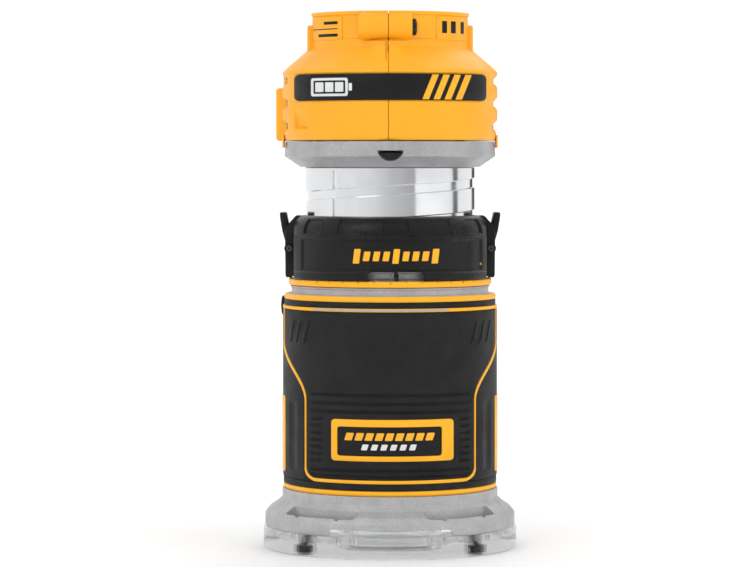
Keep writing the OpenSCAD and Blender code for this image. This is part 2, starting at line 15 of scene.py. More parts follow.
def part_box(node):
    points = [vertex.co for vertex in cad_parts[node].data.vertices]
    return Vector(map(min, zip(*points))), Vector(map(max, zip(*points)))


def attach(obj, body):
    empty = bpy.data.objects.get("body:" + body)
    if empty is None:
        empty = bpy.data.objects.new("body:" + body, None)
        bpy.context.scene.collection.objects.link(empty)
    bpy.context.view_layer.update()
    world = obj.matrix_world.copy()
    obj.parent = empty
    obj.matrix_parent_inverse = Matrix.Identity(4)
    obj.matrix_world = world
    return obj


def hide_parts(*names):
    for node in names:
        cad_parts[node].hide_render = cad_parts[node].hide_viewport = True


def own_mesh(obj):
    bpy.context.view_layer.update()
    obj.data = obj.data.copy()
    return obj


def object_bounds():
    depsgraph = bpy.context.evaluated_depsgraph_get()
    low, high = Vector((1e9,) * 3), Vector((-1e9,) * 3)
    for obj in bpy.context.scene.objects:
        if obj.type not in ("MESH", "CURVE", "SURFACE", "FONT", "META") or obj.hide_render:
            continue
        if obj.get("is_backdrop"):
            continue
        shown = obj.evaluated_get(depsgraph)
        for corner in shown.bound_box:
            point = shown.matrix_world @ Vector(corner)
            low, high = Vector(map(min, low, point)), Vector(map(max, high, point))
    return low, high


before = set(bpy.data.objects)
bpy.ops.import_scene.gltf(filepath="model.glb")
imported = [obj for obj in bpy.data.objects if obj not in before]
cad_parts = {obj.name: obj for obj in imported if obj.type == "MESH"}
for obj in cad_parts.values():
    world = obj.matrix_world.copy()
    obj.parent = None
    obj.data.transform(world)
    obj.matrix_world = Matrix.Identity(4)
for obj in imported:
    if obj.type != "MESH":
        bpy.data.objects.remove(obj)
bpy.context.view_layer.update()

MM = 0.001
FRONT = 270
UP, BACK, RIGHT = (0, 0, 1), (0, 1, 0), (1, 0, 0)
scene = bpy.context.scene
scene.view_settings.view_transform = "Standard"


# ---- sizes from the frame

def corners(node):
    """Lowest and highest corner of a CAD node, in millimetres."""
    low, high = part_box(node)
    return Vector(low) / MM, Vector(high) / MM


can_low, can_high = corners("motor_can")
CAN_R = can_high.x
CAN_Z0, CAN_Z1 = can_low.z, can_high.z
ring_low, ring_high = corners("depth_ring")
RING_R = ring_high.y
RING_Z0, RING_Z1 = ring_low.z, ring_high.z
cap_high = corners("motor_cap")[1]
CAP_R = cap_high.x
CAP_Z1 = cap_high.z
house_low, house_high = corners("housing_left")
HOUSE_R = -house_low.y
HOUSE_Z0 = CAP_Z1 + 0.03
HOUSE_TOP = house_high.z
band_low, band_high = corners("band_panel")
base_low, base_high = corners("base_casting")
FLANGE_R = base_high.x
FLANGE_Z0 = base_low.z
COLLAR_TOP = base_high.z
sub_high = corners("sub_base")[1]
SUB_R = sub_high.x
SUB_Z1 = sub_high.z
grip_low, grip_high = corners("grip_carrier")
GRIP_Z0, GRIP_Z1 = grip_low.z, grip_high.z
GRIP_R = -corners("grip_front")[0].y
front_low, front_high = corners("grip_front")
badge_low, badge_high = corners("badge_frame")
plate_low, plate_high = corners("badge_plate")
scale_low, scale_high = corners("scale_ring")
tab_low, tab_high = corners("release_tab_right")
pin_low, pin_high = corners("tab_pins")
lever_low, lever_high = corners("clamp_lever")
screw_low, screw_high = corners("housing_screws")
button_low = corners("spindle_lock_button")[0]
TAB_PIN_Z = (pin_low.z + pin_high.z) / 2
TAB_PIN_X = pin_high.x - 0.75


# ---- mesh helpers

def linked(name, mesh):
    obj = bpy.data.objects.new(name, mesh)
    scene.collection.objects.link(obj)
    return obj


def built(name, shape):
    """An object from a bmesh, which is used up."""
    mesh = bpy.data.meshes.new(name)
    shape.to_mesh(mesh)
    shape.free()
    return linked(name, mesh)


def solid(name, verts, faces):
    """A mesh object from points in millimetres, with its faces turned outwards."""
    mesh = bpy.data.meshes.new(name)
    mesh.from_pydata([tuple(float(c) * MM for c in v) for v in verts], [], faces)
    shape = bmesh.new()
    shape.from_mesh(mesh)
    bmesh.ops.remove_doubles(shape, verts=shape.verts, dist=1e-7)
    bmesh.ops.recalc_face_normals(shape, faces=shape.faces)
    shape.to_mesh(mesh)
    shape.free()
    return linked(name, mesh)


def grid_faces(rows, columns, close_rows=False, close_columns=False, first=0, flip=False):
    """Quads of a grid of points that is numbered row by row."""
    faces = []
    for i in range(rows if close_rows else rows - 1):
        for j in range(columns if close_columns else columns - 1):
            a = first + i * columns + j
            b = first + i * columns + (j + 1) % columns
            c = first + (i + 1) % rows * columns + (j + 1) % columns
            d = first + (i + 1) % rows * columns + j
            faces.append((a, d, c, b) if flip else (a, b, c, d))
    return faces


def swept_faces(count, size, closed=False):
    """Faces of a section of points that is swept along count places, with its two ends."""
    faces = grid_faces(count, size, closed, True)
    if not closed:
        faces += [tuple(range(size)), tuple(range((count - 1) * size, count * size))[::-1]]
    return faces


def rounded(points, radius=0.4, steps=3):
    """A closed outline with its corners rounded. A point may carry its own radius."""
    out = []
    for i, point in enumerate(points):
        here = Vector(point[:2])
        before = Vector(points[i - 1][:2]) - here
        after = Vector(points[(i + 1) % len(points)][:2]) - here
        size = point[2] if len(point) > 2 else radius
        if size == 0:
            out.append(tuple(here))
            continue
        slope = max(tan(before.angle(after) / 2), 0.05)
        reach = min(size / slope, 0.45 * before.length, 0.45 * after.length)
        start = here + before.normalized() * reach
        end = here + after.normalized() * reach
        for k in range(steps + 1):
            t = k / steps
            out.append(tuple(start * (1 - t) ** 2 + here * 2 * t * (1 - t) + end * t * t))
    return out


def revolve(name, profile, start=0, stop=360, steps=192):
    """A closed profile of (radius, height) points turned about the spindle axis."""
    whole = stop - start >= 360
    count = steps if whole else steps + 1
    turns = [radians(start + (stop - start) * i / steps) for i in range(count)]
    verts = [(r * cos(a), r * sin(a), z) for a in turns for r, z in profile]
    return solid(name, verts, swept_faces(count, len(profile), whole))


def lathe(name, profile, axis, place, steps=64):
    """A closed profile of (radius, distance) points turned about an axis through a place."""
    obj = revolve(name, profile, steps=steps)
    turn = Vector(UP).rotation_difference(Vector(axis)).to_matrix().to_4x4()
    obj.data.transform(Matrix.Translation(Vector(place) * MM) @ turn)
    return obj


def rod(name, points, axis=UP, place=(0, 0, 0), steps=64, corner_steps=3):
    """A solid of revolution from the outer points of its profile, which closes on the axis."""
    profile = [(0, points[0][1]), *points, (0, points[-1][1])]
    if max(map(len, points)) > 2:
        profile = rounded(profile, 0, corner_steps)
    return lathe(name, profile, axis, place, steps)


def pin(name, radius, low, high, axis=UP, place=(0, 0, 0), steps=64):
    """A plain cylinder with sharp rims, mostly a cutter."""
    return rod(name, [(radius, low), (radius, high)], axis, place, steps)


def skin(name, outer, inner, wrap=False):
    """A closed shell between two grids of points, [u, v, 3] arrays joined at their borders."""
    rows, columns = outer.shape[:2]
    verts = np.concatenate([outer.reshape(-1, 3), inner.reshape(-1, 3)])
    far = rows * columns
    faces = grid_faces(rows, columns, wrap) + grid_faces(rows, columns, wrap, first=far, flip=True)
    for j in (0, columns - 1):
        for i in range(rows if wrap else rows - 1):
            a = i * columns + j
            b = (i + 1) % rows * columns + j
            faces.append((a, b, b + far, a + far))
    if not wrap:
        for i in (0, rows - 1):
            for j in range(columns - 1):
                a = i * columns + j
                faces.append((a, a + 1, a + 1 + far, a + far))
    return solid(name, verts, faces)


def sampled(points, step):
    """An array of points on an open line, no further apart than a step."""
    out = [points[0]]
    for a, b in zip(points, points[1:]):
        count = max(1, ceil((Vector(b) - Vector(a)).length / step))
        out += [tuple(Vector(a).lerp(Vector(b), k / count)) for k in range(1, count + 1)]
    return np.array(out)


def lines(low, high, step, marks=(), soft=0.3):
    """Sample positions from low to high, set closer together round each mark."""
    found = list(np.linspace(low, high, max(2, int(round((high - low) / step)) + 1)))
    for mark in marks:
        near = [mark + soft * k for k in (-1, -0.5, 0, 0.5, 1)]
        found = [v for v in found if min(abs(v - n) for n in near) > soft * 0.3]
        found += [v for v in near if low < v < high]
    found = sorted(found)
    return np.array([low] + [v for v in found if low + 0.02 < v < high - 0.02] + [high])


def with_edges(values, low, high, near_low, near_high):
    """The sample positions, and more of them at these distances from both ends."""
    return np.unique(np.concatenate([values, low + np.array(near_low),
        high - np.array(near_high)]))


def rise(value, edge, soft):
    """0 below an edge and 1 above it, with a smooth step between."""
    t = np.clip((value - edge) / (2 * soft) + 0.5, 0, 1)
    return t * t * (3 - 2 * t)


def within(value, low, high, soft=0.3):
    """1 between two edges and 0 outside them."""
    return rise(value, low, soft) * (1 - rise(value, high, soft))


def spot(radius, angle):
    """X and Y at a radius and direction."""
    a = radians(angle)
    return radius * cos(a), radius * sin(a)


def turned_to(obj, angle):
    obj.data.transform(Matrix.Rotation(radians(angle), 4, "Z"))
    return obj


def moved(obj, x, y):
    obj.data.transform(Matrix.Translation(Vector((x, y, 0)) * MM))
    return obj


def on_axis(angle, radius, height):
    """Points on the spindle axis's cylinder, from arrays of degrees and millimetres."""
    a = np.radians(angle)
    return np.stack([radius * np.cos(a), radius * np.sin(a), height + 0 * a], axis=-1)


def round_shell(name, angle, radius, z, inside, wrap=False):
    """A skin round the spindle axis, from its outer and inner radius at each point."""
    return skin(name, on_axis(angle, radius, z), on_axis(angle, inside + 0 * z, z), wrap)


def block(name, low, high, soft=0.6, steps=3):
    """A box with rounded edges."""
    shape = bmesh.new()
    bmesh.ops.create_cube(shape, size=1)
    low, high = Vector(low), Vector(high)
    for v in shape.verts:
        v.co = Vector((low[i] + (v.co[i] + 0.5) * (high[i] - low[i])) * MM for i in range(3))
    bmesh.ops.bevel(shape, geom=shape.edges[:], offset=soft * MM, segments=steps, profile=0.5,
        affect="EDGES")
    return built(name, shape)


def close_rings(shape, rings):
    """Faces from each ring of points to the next, and over the first and the last."""
    for a, b in zip(rings, rings[1:]):
        for i in range(len(a)):
            shape.faces.new((a[i - 1], a[i], b[i], b[i - 1]))
    shape.faces.new(rings[0][::-1])
    shape.faces.new(rings[-1])


def mirrored(outline, side):
    return [(side * point[0], *point[1:]) for point in outline]


def inset(outline, distance):
    """The outline moved inwards by a small distance."""
    count = len(outline)
    area = sum(outline[i - 1][0] * outline[i][1] - outline[i][0] * outline[i - 1][1]
        for i in range(count))
    side = 1 if area > 0 else -1
    out = []
    for i, (x, z) in enumerate(outline):
        along = Vector(outline[(i + 1) % count]) - Vector(outline[i - 1])
        along = along.normalized() * side * distance
        out.append((x - along.y, z + along.x))
    return out


def rectangle(x1, z1, x2, z2, radius, steps=4):
    """A rectangle with rounded corners. radius may be one number or four."""
    radii = radius if isinstance(radius, tuple) else (radius,) * 4
    points = zip((x1, x2, x2, x1), (z1, z1, z2, z2), radii)
    return rounded(list(points), steps=steps)


def wrapped(name, outline, radius, depth, soft=0.25, turn=0.0, step=1.6, proud=0.0):
    """A plate with this outline as seen from the front, bent round the spindle axis.

    Its face is at radius, its back is depth further in, and soft rounds its front edge.
    turn moves it round the axis, and its outline then counts along the surface.
    proud carries the face further out, for a cutter that starts outside the surface.
    """
    shape = bmesh.new()
    rings = []
    for back, move in ((depth, 0), (soft - proud, 0), (soft * 0.3 - proud, soft * 0.3),
            (-proud, soft)):
        ring = inset(outline, move) if move else outline
        rings.append([shape.verts.new((x, back, z)) for x, z in ring])
    close_rings(shape, rings)
    xs = [x for x, _ in outline]
    for k in range(ceil(min(xs) / step), floor(max(xs) / step) + 1):
        bmesh.ops.bisect_plane(shape, geom=shape.verts[:] + shape.edges[:] + shape.faces[:],
            plane_co=(k * step, 0, 0), plane_no=RIGHT, dist=1e-5)
    for v in shape.verts:
        x, back, z = v.co
        a = x / radius if turn else asin(max(-1, min(1, x / radius)))
        a += radians(turn)
        v.co = Vector(((radius - back) * sin(a), -(radius - back) * cos(a), z)) * MM
    bmesh.ops.recalc_face_normals(shape, faces=shape.faces)
    return built(name, shape)


def extrude(name, outline, low, high, soft=0.3, plane="xz"):
    """An outline pushed from low to high, with rounded rims. plane names its two axes."""
    shape = bmesh.new()
    third = "xyz".replace(plane[0], "").replace(plane[1], "")
    order = [plane[0], plane[1], third]

    def point(u, v, w):
        at = dict(zip(order, (u, v, w)))
        return shape.verts.new((at["x"] * MM, at["y"] * MM, at["z"] * MM))

    rings = []
    for w, move in ((low, soft), (low + soft * 0.3, soft * 0.3), (low + soft, 0), (high - soft, 0),
            (high - soft * 0.3, soft * 0.3), (high, soft)):
        ring = inset(outline, move) if move else outline
        rings.append([point(u, v, w) for u, v in ring])
    close_rings(shape, rings)
    bmesh.ops.recalc_face_normals(shape, faces=shape.faces)
    return built(name, shape)


def combine(obj, others, how="UNION"):
    """Joins, cuts or intersects a solid with others, which are used up."""
    for other in others:
        step = obj.modifiers.new("combine", "BOOLEAN")
        step.operation = how
        step.solver = "MANIFOLD"
        step.object = other
    graph = bpy.context.evaluated_depsgraph_get()
    mesh = bpy.data.meshes.new_from_object(obj.evaluated_get(graph))
    obj.modifiers.clear()
    obj.data = mesh
    for other in others:
        bpy.data.objects.remove(other)
    return obj


def cut(obj, *cutters):
    return combine(obj, cutters, "DIFFERENCE")


def join(obj, *others):
    return combine(obj, others)


def merge(name, objs):
    """One object from several solids that don't touch."""
    shape = bmesh.new()
    for obj in objs:
        shape.from_mesh(obj.data)
        bpy.data.objects.remove(obj)
    return built(name, shape)


def piece(obj, body, material, nodes=(), angle=32):
    """Finishes a piece: material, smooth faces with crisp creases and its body."""
    obj.data.materials.clear()
    obj.data.materials.append(material)
    obj.data.shade_smooth()
    obj.data.set_sharp_from_angle(angle=radians(angle))
    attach(obj, body)
    if nodes:
        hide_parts(*nodes)
    return obj


def plates(name, outlines, radius, depth, soft, body, slot, material, **more):
    """A piece made of small plates that lie on a round face."""
    parts = [wrapped("plate", outline, radius, depth, soft, **more) for outline in outlines]
    return piece(merge(name, parts), body, material)


# ---- materials

def tone(red, green, blue):
    """A colour from its 0 to 255 display values."""
    def linear(c):
        c /= 255
        return c / 12.92 if c <= 0.04045 else ((c + 0.055) / 1.055) ** 2.4
    return (linear(red), linear(green), linear(blue), 1.0)


def scaled(colour, factor):
    return tuple(min(1.0, c * factor) for c in colour[:3]) + (1.0,)


class Finish:
    """A Principled material that is built up in layers."""

    def __init__(self, name, colour, rough, metal=0.0, **sockets):
        self.made = bpy.data.materials.new(name)
        self.made.use_nodes = True
        self.tree = self.made.node_tree
        self.shader = self.tree.nodes["Principled BSDF"]
        self.where = self.node("TexCoord").outputs["Object"]
        self.colour, self.rough = colour, rough
        self.colour_from, self.normal_from = colour, None
        self.feed(self.shader, {"Base Color": colour, "Roughness": rough, "Metallic": metal})
        self.feed(self.shader, {k.replace("_", " "): v for k, v in sockets.items()})

    def feed(self, node, inputs):
        """Sets each input to its value, or links it to the output that is given."""
        for name, value in inputs.items():
            if isinstance(value, bpy.types.NodeSocket):
                self.tree.links.new(value, node.inputs[name])
            else:
                node.inputs[name].default_value = value

    def node(self, kind, inputs=(), **settings):
        made = self.tree.nodes.new("ShaderNode" + kind)
        for name, value in settings.items():
            setattr(made, name, value)
        self.feed(made, dict(inputs))
        return made

    def noise(self, size, detail=3.0, stretch=(1, 1, 1), distortion=0.0):
        """Noise whose features are about size millimetres wide."""
        place = self.node("Mapping", {"Scale": stretch, "Vector": self.where}).outputs["Vector"]
        return self.node("TexNoise", {"Scale": 1 / (size * MM), "Detail": detail,
            "Distortion": distortion, "Vector": place}).outputs["Fac"]

    def ramp(self, value, low, high, new_low, new_high):
        return self.node("MapRange", {"From Min": low, "From Max": high, "To Min": new_low,
            "To Max": new_high, "Value": value}, clamp=True).outputs["Result"]

    def paint(self, factor, colour):
        """Lays a colour over what is there, where the factor says."""
        self.colour_from = self.node("Mix", {"A": self.colour_from, "B": colour, "Factor": factor},
            data_type="RGBA").outputs["Result"]
        self.feed(self.shader, {"Base Color": self.colour_from})
        return self

    def bend(self, normal):
        self.normal_from = normal
        self.feed(self.shader, {"Normal": normal})
        return self

    def mottle(self, size, amount, gloss=0.08):
        """Slow changes of tone and gloss."""
        cloud = self.noise(size, 4)
        rough = self.ramp(cloud, 0.3, 0.7, self.rough - gloss, self.rough + gloss)
        self.feed(self.shader, {"Roughness": rough})
        return self.paint(self.ramp(cloud, 0.35, 0.65, 0, 1), scaled(self.colour, 1 - amount))

    def edges(self, radius, colour, amount):
        """Rounds the shading of crisp edges and wears them to a colour."""
        soft = self.node("Bevel", {"Radius": radius * MM}, samples=4).outputs["Normal"]
        sharp = self.node("NewGeometry").outputs["Normal"]
        dot = self.node("VectorMath", {0: soft, 1: sharp}, operation="DOT_PRODUCT")
        worn = self.ramp(dot.outputs["Value"], 0.995, 0.9, 0, amount)
        patches = self.ramp(self.noise(2.5), 0.3, 0.6, 0.3, 1)
        both = self.node("Math", {0: worn, 1: patches}, operation="MULTIPLY")
        return self.paint(both.outputs["Value"], colour).bend(soft)

    def grain(self, size, height, detail=2.0, stretch=(1, 1, 1), speckle=0.0):
        """Fine relief, and a speckle of tone that goes with it."""
        fine = self.noise(size, detail, stretch)
        under = {"Normal": self.normal_from} if self.normal_from else {}
        bump = self.node("Bump", {"Distance": height * MM, "Height": fine, **under})
        if speckle:
            self.paint(self.ramp(fine, 0.5, 0.3, 0, 0.6), scaled(self.colour, 1 - speckle))
            self.paint(self.ramp(fine, 0.55, 0.75, 0, 0.6), scaled(self.colour, 1 + speckle))
        return self.bend(bump.outputs["Normal"])


def yellow(name, colour):
    """Moulded nylon with a fine satin texture."""
    look = Finish(name, colour, 0.42, Specular_IOR_Level=0.35)
    return look.mottle(14, 0.05).edges(0.35, scaled(colour, 1.35), 0.5).grain(0.35, 0.012).made


def rubber(name, colour, rough=0.62, sheen=0.06):
    """Soft overmould with a sand texture."""
    look = Finish(name, colour, rough, Specular_IOR_Level=0.22, Sheen_Weight=sheen,
        Sheen_Roughness=0.35)
    look.mottle(9, 0.2, 0.05).edges(0.3, scaled(colour, 2.2), 0.4)
    return look.grain(0.6, 0.09, 3, speckle=0.4).made


def moulded_black(name, colour, rough=0.4):
    """Glass-filled black nylon."""
    look = Finish(name, colour, rough, Specular_IOR_Level=0.24)
    return look.mottle(11, 0.2).edges(0.3, scaled(colour, 3), 0.5).grain(0.3, 0.012).made


def casting(name, colour, rough=0.5):
    """Blasted die-cast aluminium."""
    look = Finish(name, colour, rough, 0.4, Specular_IOR_Level=0.6)
    look.mottle(7, 0.14, 0.06).edges(0.4, scaled(colour, 1.5), 0.6)
    return look.grain(0.55, 0.09, 4, speckle=0.32).made


def turned(name, colour, rough):
    """Metal turned on a lathe: fine rings round the axis."""
    look = Finish(name, colour, rough, 1.0)
    look.mottle(10, 0.06, 0.04).edges(0.25, scaled(colour, 1.2), 0.4)
    return look.grain(0.9, 0.006, 3, (0.02, 0.02, 3.0), speckle=0.04).made


def printed(name, colour, rough=0.35):
    """Ink or a printed film."""
    look = Finish(name, colour, rough, Specular_IOR_Level=0.25)
    return look.mottle(5, 0.08).grain(0.25, 0.004).made


def metal(name, colour, rough, grain=0.008):
    look = Finish(name, colour, rough, 1.0)
    look.mottle(3, 0.15, 0.06).edges(0.2, scaled(colour, 1.4), 0.5)
    return look.grain(0.3, grain, 3).made


def clear(name):
    """Clear moulded plastic, scuffed a little."""
    look = Finish(name, (0.97, 0.98, 0.985, 1), 0.03, Alpha=0.58, Transmission_Weight=1.0, IOR=1.2,
        Specular_IOR_Level=0.9)
    scuff = look.ramp(look.noise(4, 5, distortion=0.4), 0.45, 0.75, 0.03, 0.16)
    look.feed(look.shader, {"Roughness": scuff})
    return look.grain(1.2, 0.01).made


YELLOW = yellow("yellow_housing", tone(252, 175, 30))
TRIM = yellow("yellow_trim", tone(252, 180, 32))
RUBBER = rubber("front_rubber", tone(30, 30, 31))
# the front rubber again, darker and less glossy: painted shade on the side shells and the corner
# bars
SHADED_SIDE_RUBBER = rubber("shaded_side_rubber", tone(24, 24, 26), 0.55, 0.03)
BLACK = moulded_black("black_nylon", tone(17, 17, 18), 0.34)
PANEL = printed("black_film", tone(16, 16, 17), 0.42)
CAP = casting("cap_casting", tone(176, 176, 178), 0.42)
BASE = casting("base_casting_finish", tone(183, 183, 185), 0.5)
CAN = turned("turned_can", tone(230, 231, 233), 0.12)
CLEAR = clear("clear_plastic")
STEEL = metal("bright_steel", tone(200, 201, 205), 0.28)
OXIDE = metal("black_oxide", tone(58, 58, 60), 0.4)
DARK_STEEL = metal("dark_steel", tone(95, 96, 100), 0.32)
MAGNET = metal("nickel", tone(170, 170, 175), 0.25)
COPPER = metal("enamelled_copper", tone(190, 105, 60), 0.3, 0.03)
BRASS = metal("plated_brass", tone(215, 175, 95), 0.28)
LAMINATED = turned("laminations", tone(130, 131, 135), 0.4)
BOARD = printed("solder_mask", tone(22, 92, 52), 0.3)
MARK_YELLOW = printed("yellow_print", tone(252, 182, 44))
MARK_WHITE = printed("white_print", tone(224, 226, 226))
# pale grey for the strip along the yellow line above the panel
PALE_GREY = printed("grey_pale_strip", tone(176, 172, 164))


# ---- stage, lights and camera

def build_stage():
    """A pale floor that rises all round into a wall, soft lights, and the camera."""
    profile = [(0, 0), (0.7, 0), (1.4, 0.02), (2.1, 0.14), (2.7, 0.5), (3.0, 1.1), (3.05, 2.6)]
    count = 96
    verts = [(r * cos(2 * pi * i / count), r * sin(2 * pi * i / count), z) for i in range(count)
        for r, z in profile]
    mesh = bpy.data.meshes.new("floor")
    mesh.from_pydata(verts, [], grid_faces(count, len(profile), True))
    mesh.shade_smooth()
    ground = linked("floor", mesh)
    paper = Finish("paper", tone(250, 250, 250), 0.8)
    paper.mottle(400, 0.01)
    mesh.materials.append(paper.made)
    ground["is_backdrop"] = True

    world = bpy.data.worlds.new("studio")
    world.use_nodes = True
    world.node_tree.nodes["Background"].inputs["Color"].default_value = (1, 1, 1, 1)
    world.node_tree.nodes["Background"].inputs["Strength"].default_value = 0.965
    scene.world = world

    for name, at, size, power in (("key", (-1.1, -1.3, 1.5), 1.1, 5.6),
            ("fill", (1.5, -1.0, 0.9), 1.2, 4.9), ("back", (0.3, 1.6, 1.6), 1.4, 9)):
        data = bpy.data.lights.new(name, "AREA")
        data.shape = "SQUARE"
        data.size = size
        data.energy = power
        lamp = linked(name, data)
        lamp.location = at
        aim = Vector((0, 0, 0.1)) - Vector(at)
        lamp.rotation_euler = aim.to_track_quat("-Z", "Y").to_euler()
        lamp.visible_glossy = name != "fill"

    # grey cards, seen only in reflections, that give the bright metal its darker parts
    stops, shades = (-80, -48, -24, 0, 22, 34), (245, 236, 226, 200, 180, 168)
    flags = [(a, a + 6, np.interp(a + 3, stops, shades)) for a in range(-80, 34, 6)]
    flags += [(93, 103, 92), (145, 163, 70)]
    reach = 1.45
    for i, (low, high, shade) in enumerate(flags):
        grey = Finish("flag_card_%d" % i, tone(shade, shade, shade), 0.9)
        grey.mottle(300, 0.05)
        angles = [radians(low + (high - low) * k / 8) for k in range(9)]
        verts = [(reach * sin(a), -reach * cos(a), z) for a in angles for z in (0.02, 0.85)]
        card = bpy.data.meshes.new("flag")
        card.from_pydata(verts, [], grid_faces(9, 2))
        card.materials.append(grey.made)
        flag = linked("flag_%d" % i, card)
        flag.visible_camera = flag.visible_diffuse = flag.visible_shadow = False
        flag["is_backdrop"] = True

    # a long lens, as in a product photo
    low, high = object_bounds()
    middle = (low.z + high.z) / 2
    data = bpy.data.cameras.new("camera")
    data.lens = 151.7
    data.sensor_width = 36
    camera = linked("camera", data)
    away = 1.285
    camera.location = (-0.0061, -away, middle + 0.0489)
    aim = Vector((0, away, -0.0502))
    camera.rotation_euler = aim.to_track_quat("-Z", "Y").to_euler()
    scene.camera = camera


# ---- the clear sub-base

def build_sub_base():
    plate = 5.0
    profile = rounded([(15.2, 2.4, 0.2), (17.45, 2.4, 0.2), (17.45, 0, 0.4), (SUB_R, 0, 0.9),
        (SUB_R, SUB_Z1, 0.6), (SUB_R - 3, SUB_Z1, 0.5), (SUB_R - 3.4, plate, 0.6),
        (21.2, plate, 0.5), (21, SUB_Z1 - 0.6, 0.5), (18.5, SUB_Z1 - 0.6, 0.5), (18.3, plate, 0.5),
        (15.2, plate, 0.4)])
    base = revolve("clear_sub_base", profile, steps=224)
    screws = [spot(43.5, a) for a in (220, 320, 40, 140)]
    bosses = [rod("boss", [(5.6, 3), (5.4, SUB_Z1, 0.5)], UP, (x, y, 0)) for x, y in screws]
    posts = [rod("post", [(3.9, 3), (3.7, SUB_Z1 - 0.3, 0.4), (2.2, SUB_Z1 - 0.3, 0.3), (2.0, 4)],
        UP, (x, -43.4, 0)) for x in (-17.6, 17.9)]
    ribs = [block("rib", (-12.8, y, 3), (12.9, y + 1.2, SUB_Z1 - 1.4), 0.4) for y in (-46.4, -43.4,
        -40.4)]
    join(base, *bosses, *posts, *ribs)
    cut(base, *[rod("hole", [(4.1, -1), (4.1, 3.3), (3.9, 3.6), (2.2, 3.6), (2.2, 12)], UP,
        (x, y, 0), 48) for x, y in screws])
    piece(base, "base", CLEAR, ["sub_base"])


# ---- the cast base

BOLT_Y, BOLT_Z = 48.5, 97.0      # where the clamp bolt crosses the split


def build_base_casting():
    neck_low, neck_top = GRIP_Z1 + 0.2, scale_low.z - 0.2
    outside = [(36, FLANGE_Z0, 0.6), (FLANGE_R, FLANGE_Z0, 1.0), (FLANGE_R, 13.8, 1.8),
        (48.9, 16.2, 3.0), (45.6, 18.4, 2.0), (43.8, 20.2, 1.4), (43.8, GRIP_Z0 - 0.05, 0.3),
        (41, GRIP_Z0 - 0.05, 0.1), (41, neck_low, 0.4), (40.0, neck_low + 0.3, 0.2),
        (40.0, neck_top - 1.0, 0.2), (40.5, neck_top - 0.6, 0.3), (40.5, neck_top, 0.3),
        (37.6, neck_top, 0.1), (37.6, 109.4, 0.2), (36.2, 109.8, 0.2), (36.2, 111.8, 0.2),
        (37.6, 112.2, 0.2), (37.6, COLLAR_TOP, 0.8), (CAN_R + 0.3, COLLAR_TOP, 0.3),
        (CAN_R + 0.3, 57, 0.3), (37.5, 54, 0.5), (37.5, 14, 0.5)]
    body = revolve("cast_base", rounded(outside, steps=4), steps=256)
    lugs = block("lugs", (-9, 37, 88), (9, 54.5, 103), 1.6, 4)
    ribs = [block("rib", (x, 37, 63), (x + 2.4, 44.5, 90), 0.9) for x in (-9, 6.6)]
    join(body, lugs, *ribs)
    cutters = [pin("bore", CAN_R + 0.3, 50, 130, steps=256),
        extrude("arch", rectangle(-24.2, -5, 24.2, 11.4, 1.4, 5), -60, -20, 0.1),
        extrude("window", rectangle(-23, 14, 23, 62, 6, 8), 30, 62, 0.1),
        block("split", (-1.25, 30, 50), (1.25, 60, 130), 0.05, 1),
        pin("bolt", 3.1, -12, 12, RIGHT, (0, BOLT_Y, BOLT_Z))]
    # a pocket for an accessory on each side of the flange, with two holes
    for a, inner in ((233, 1), (307, -1)):
        pocket = rounded([(45.4, 12.5, 0.8), (49.2, 12.5, 0.8), (49.8, 20, 0), (45.2, 20, 0)])
        low, high = sorted((a - inner * 20.5, a + inner * 18.4))
        cutters.append(revolve("pocket", pocket, low, high, 30))
        cutters.append(rod("end", [(1.9, 12.5, 0.7), (2.2, 20)], UP,
            (*spot(47.3, a + inner * 18.4), 0), 40))
        cutters += [pin("hole", 1.4, 5, 16, UP, (*spot(48.6, b), 0), 32)
            for b in (a - 11.5, a + 11.5)]
    cut(body, *cutters)
    piece(body, "base", BASE, ["base_casting"], 28)


# ---- the grip

PANEL_W = 33.6          # half-width of the front panel below its flare
PANEL_TOP_W = 42.85
PANEL_CORNER = 4.0
GRIP_INSIDE = 42.06     # inner radius of the rubber
FLARE_LOW, FLARE_HIGH = 61.5, 84.0
EDGE_STEPS = [0.1, 0.25, 0.45, 0.7]
REAR = 32.5             # half the rubber's gap at the back, in degrees
GRIP_TURN = 122, 418, 220       # where the yellow carrier starts and stops, and its steps


def panel_half(z):
    """Half-width of the front panel at a height, as seen from the front."""
    z = np.asarray(z, float)
    t = np.clip((z - FLARE_LOW) / (FLARE_HIGH - FLARE_LOW), 0, 1)
    wide = PANEL_W + (PANEL_TOP_W - PANEL_W) * (1 - np.cos(np.pi * t)) / 2
    foot = front_low.z + PANEL_CORNER - z
    drop = PANEL_CORNER - np.sqrt(np.clip(PANEL_CORNER ** 2 - np.clip(foot, 0, None) ** 2, 0,
        None))
    return wide - drop


def roll(distance, radius=0.6):
    """How far a surface drops towards a rounded edge at this distance from it."""
    t = np.clip(distance / radius, 0, 1)
    return radius * (1 - np.sqrt(np.clip(1 - (1 - t) ** 2, 0, 1)))


def groove_lines():
    """Heights and half-lengths of the panel's grooves: long ones, then short ones at the sides."""
    long = [(z, 0.0, 31.3) for z in (64.0, 60.7, 57.4, 34.2, 31.9)]
    short = [(54.2 - 2.75 * i, 27.2, 31.3) for i in range(7)]
    return long + short


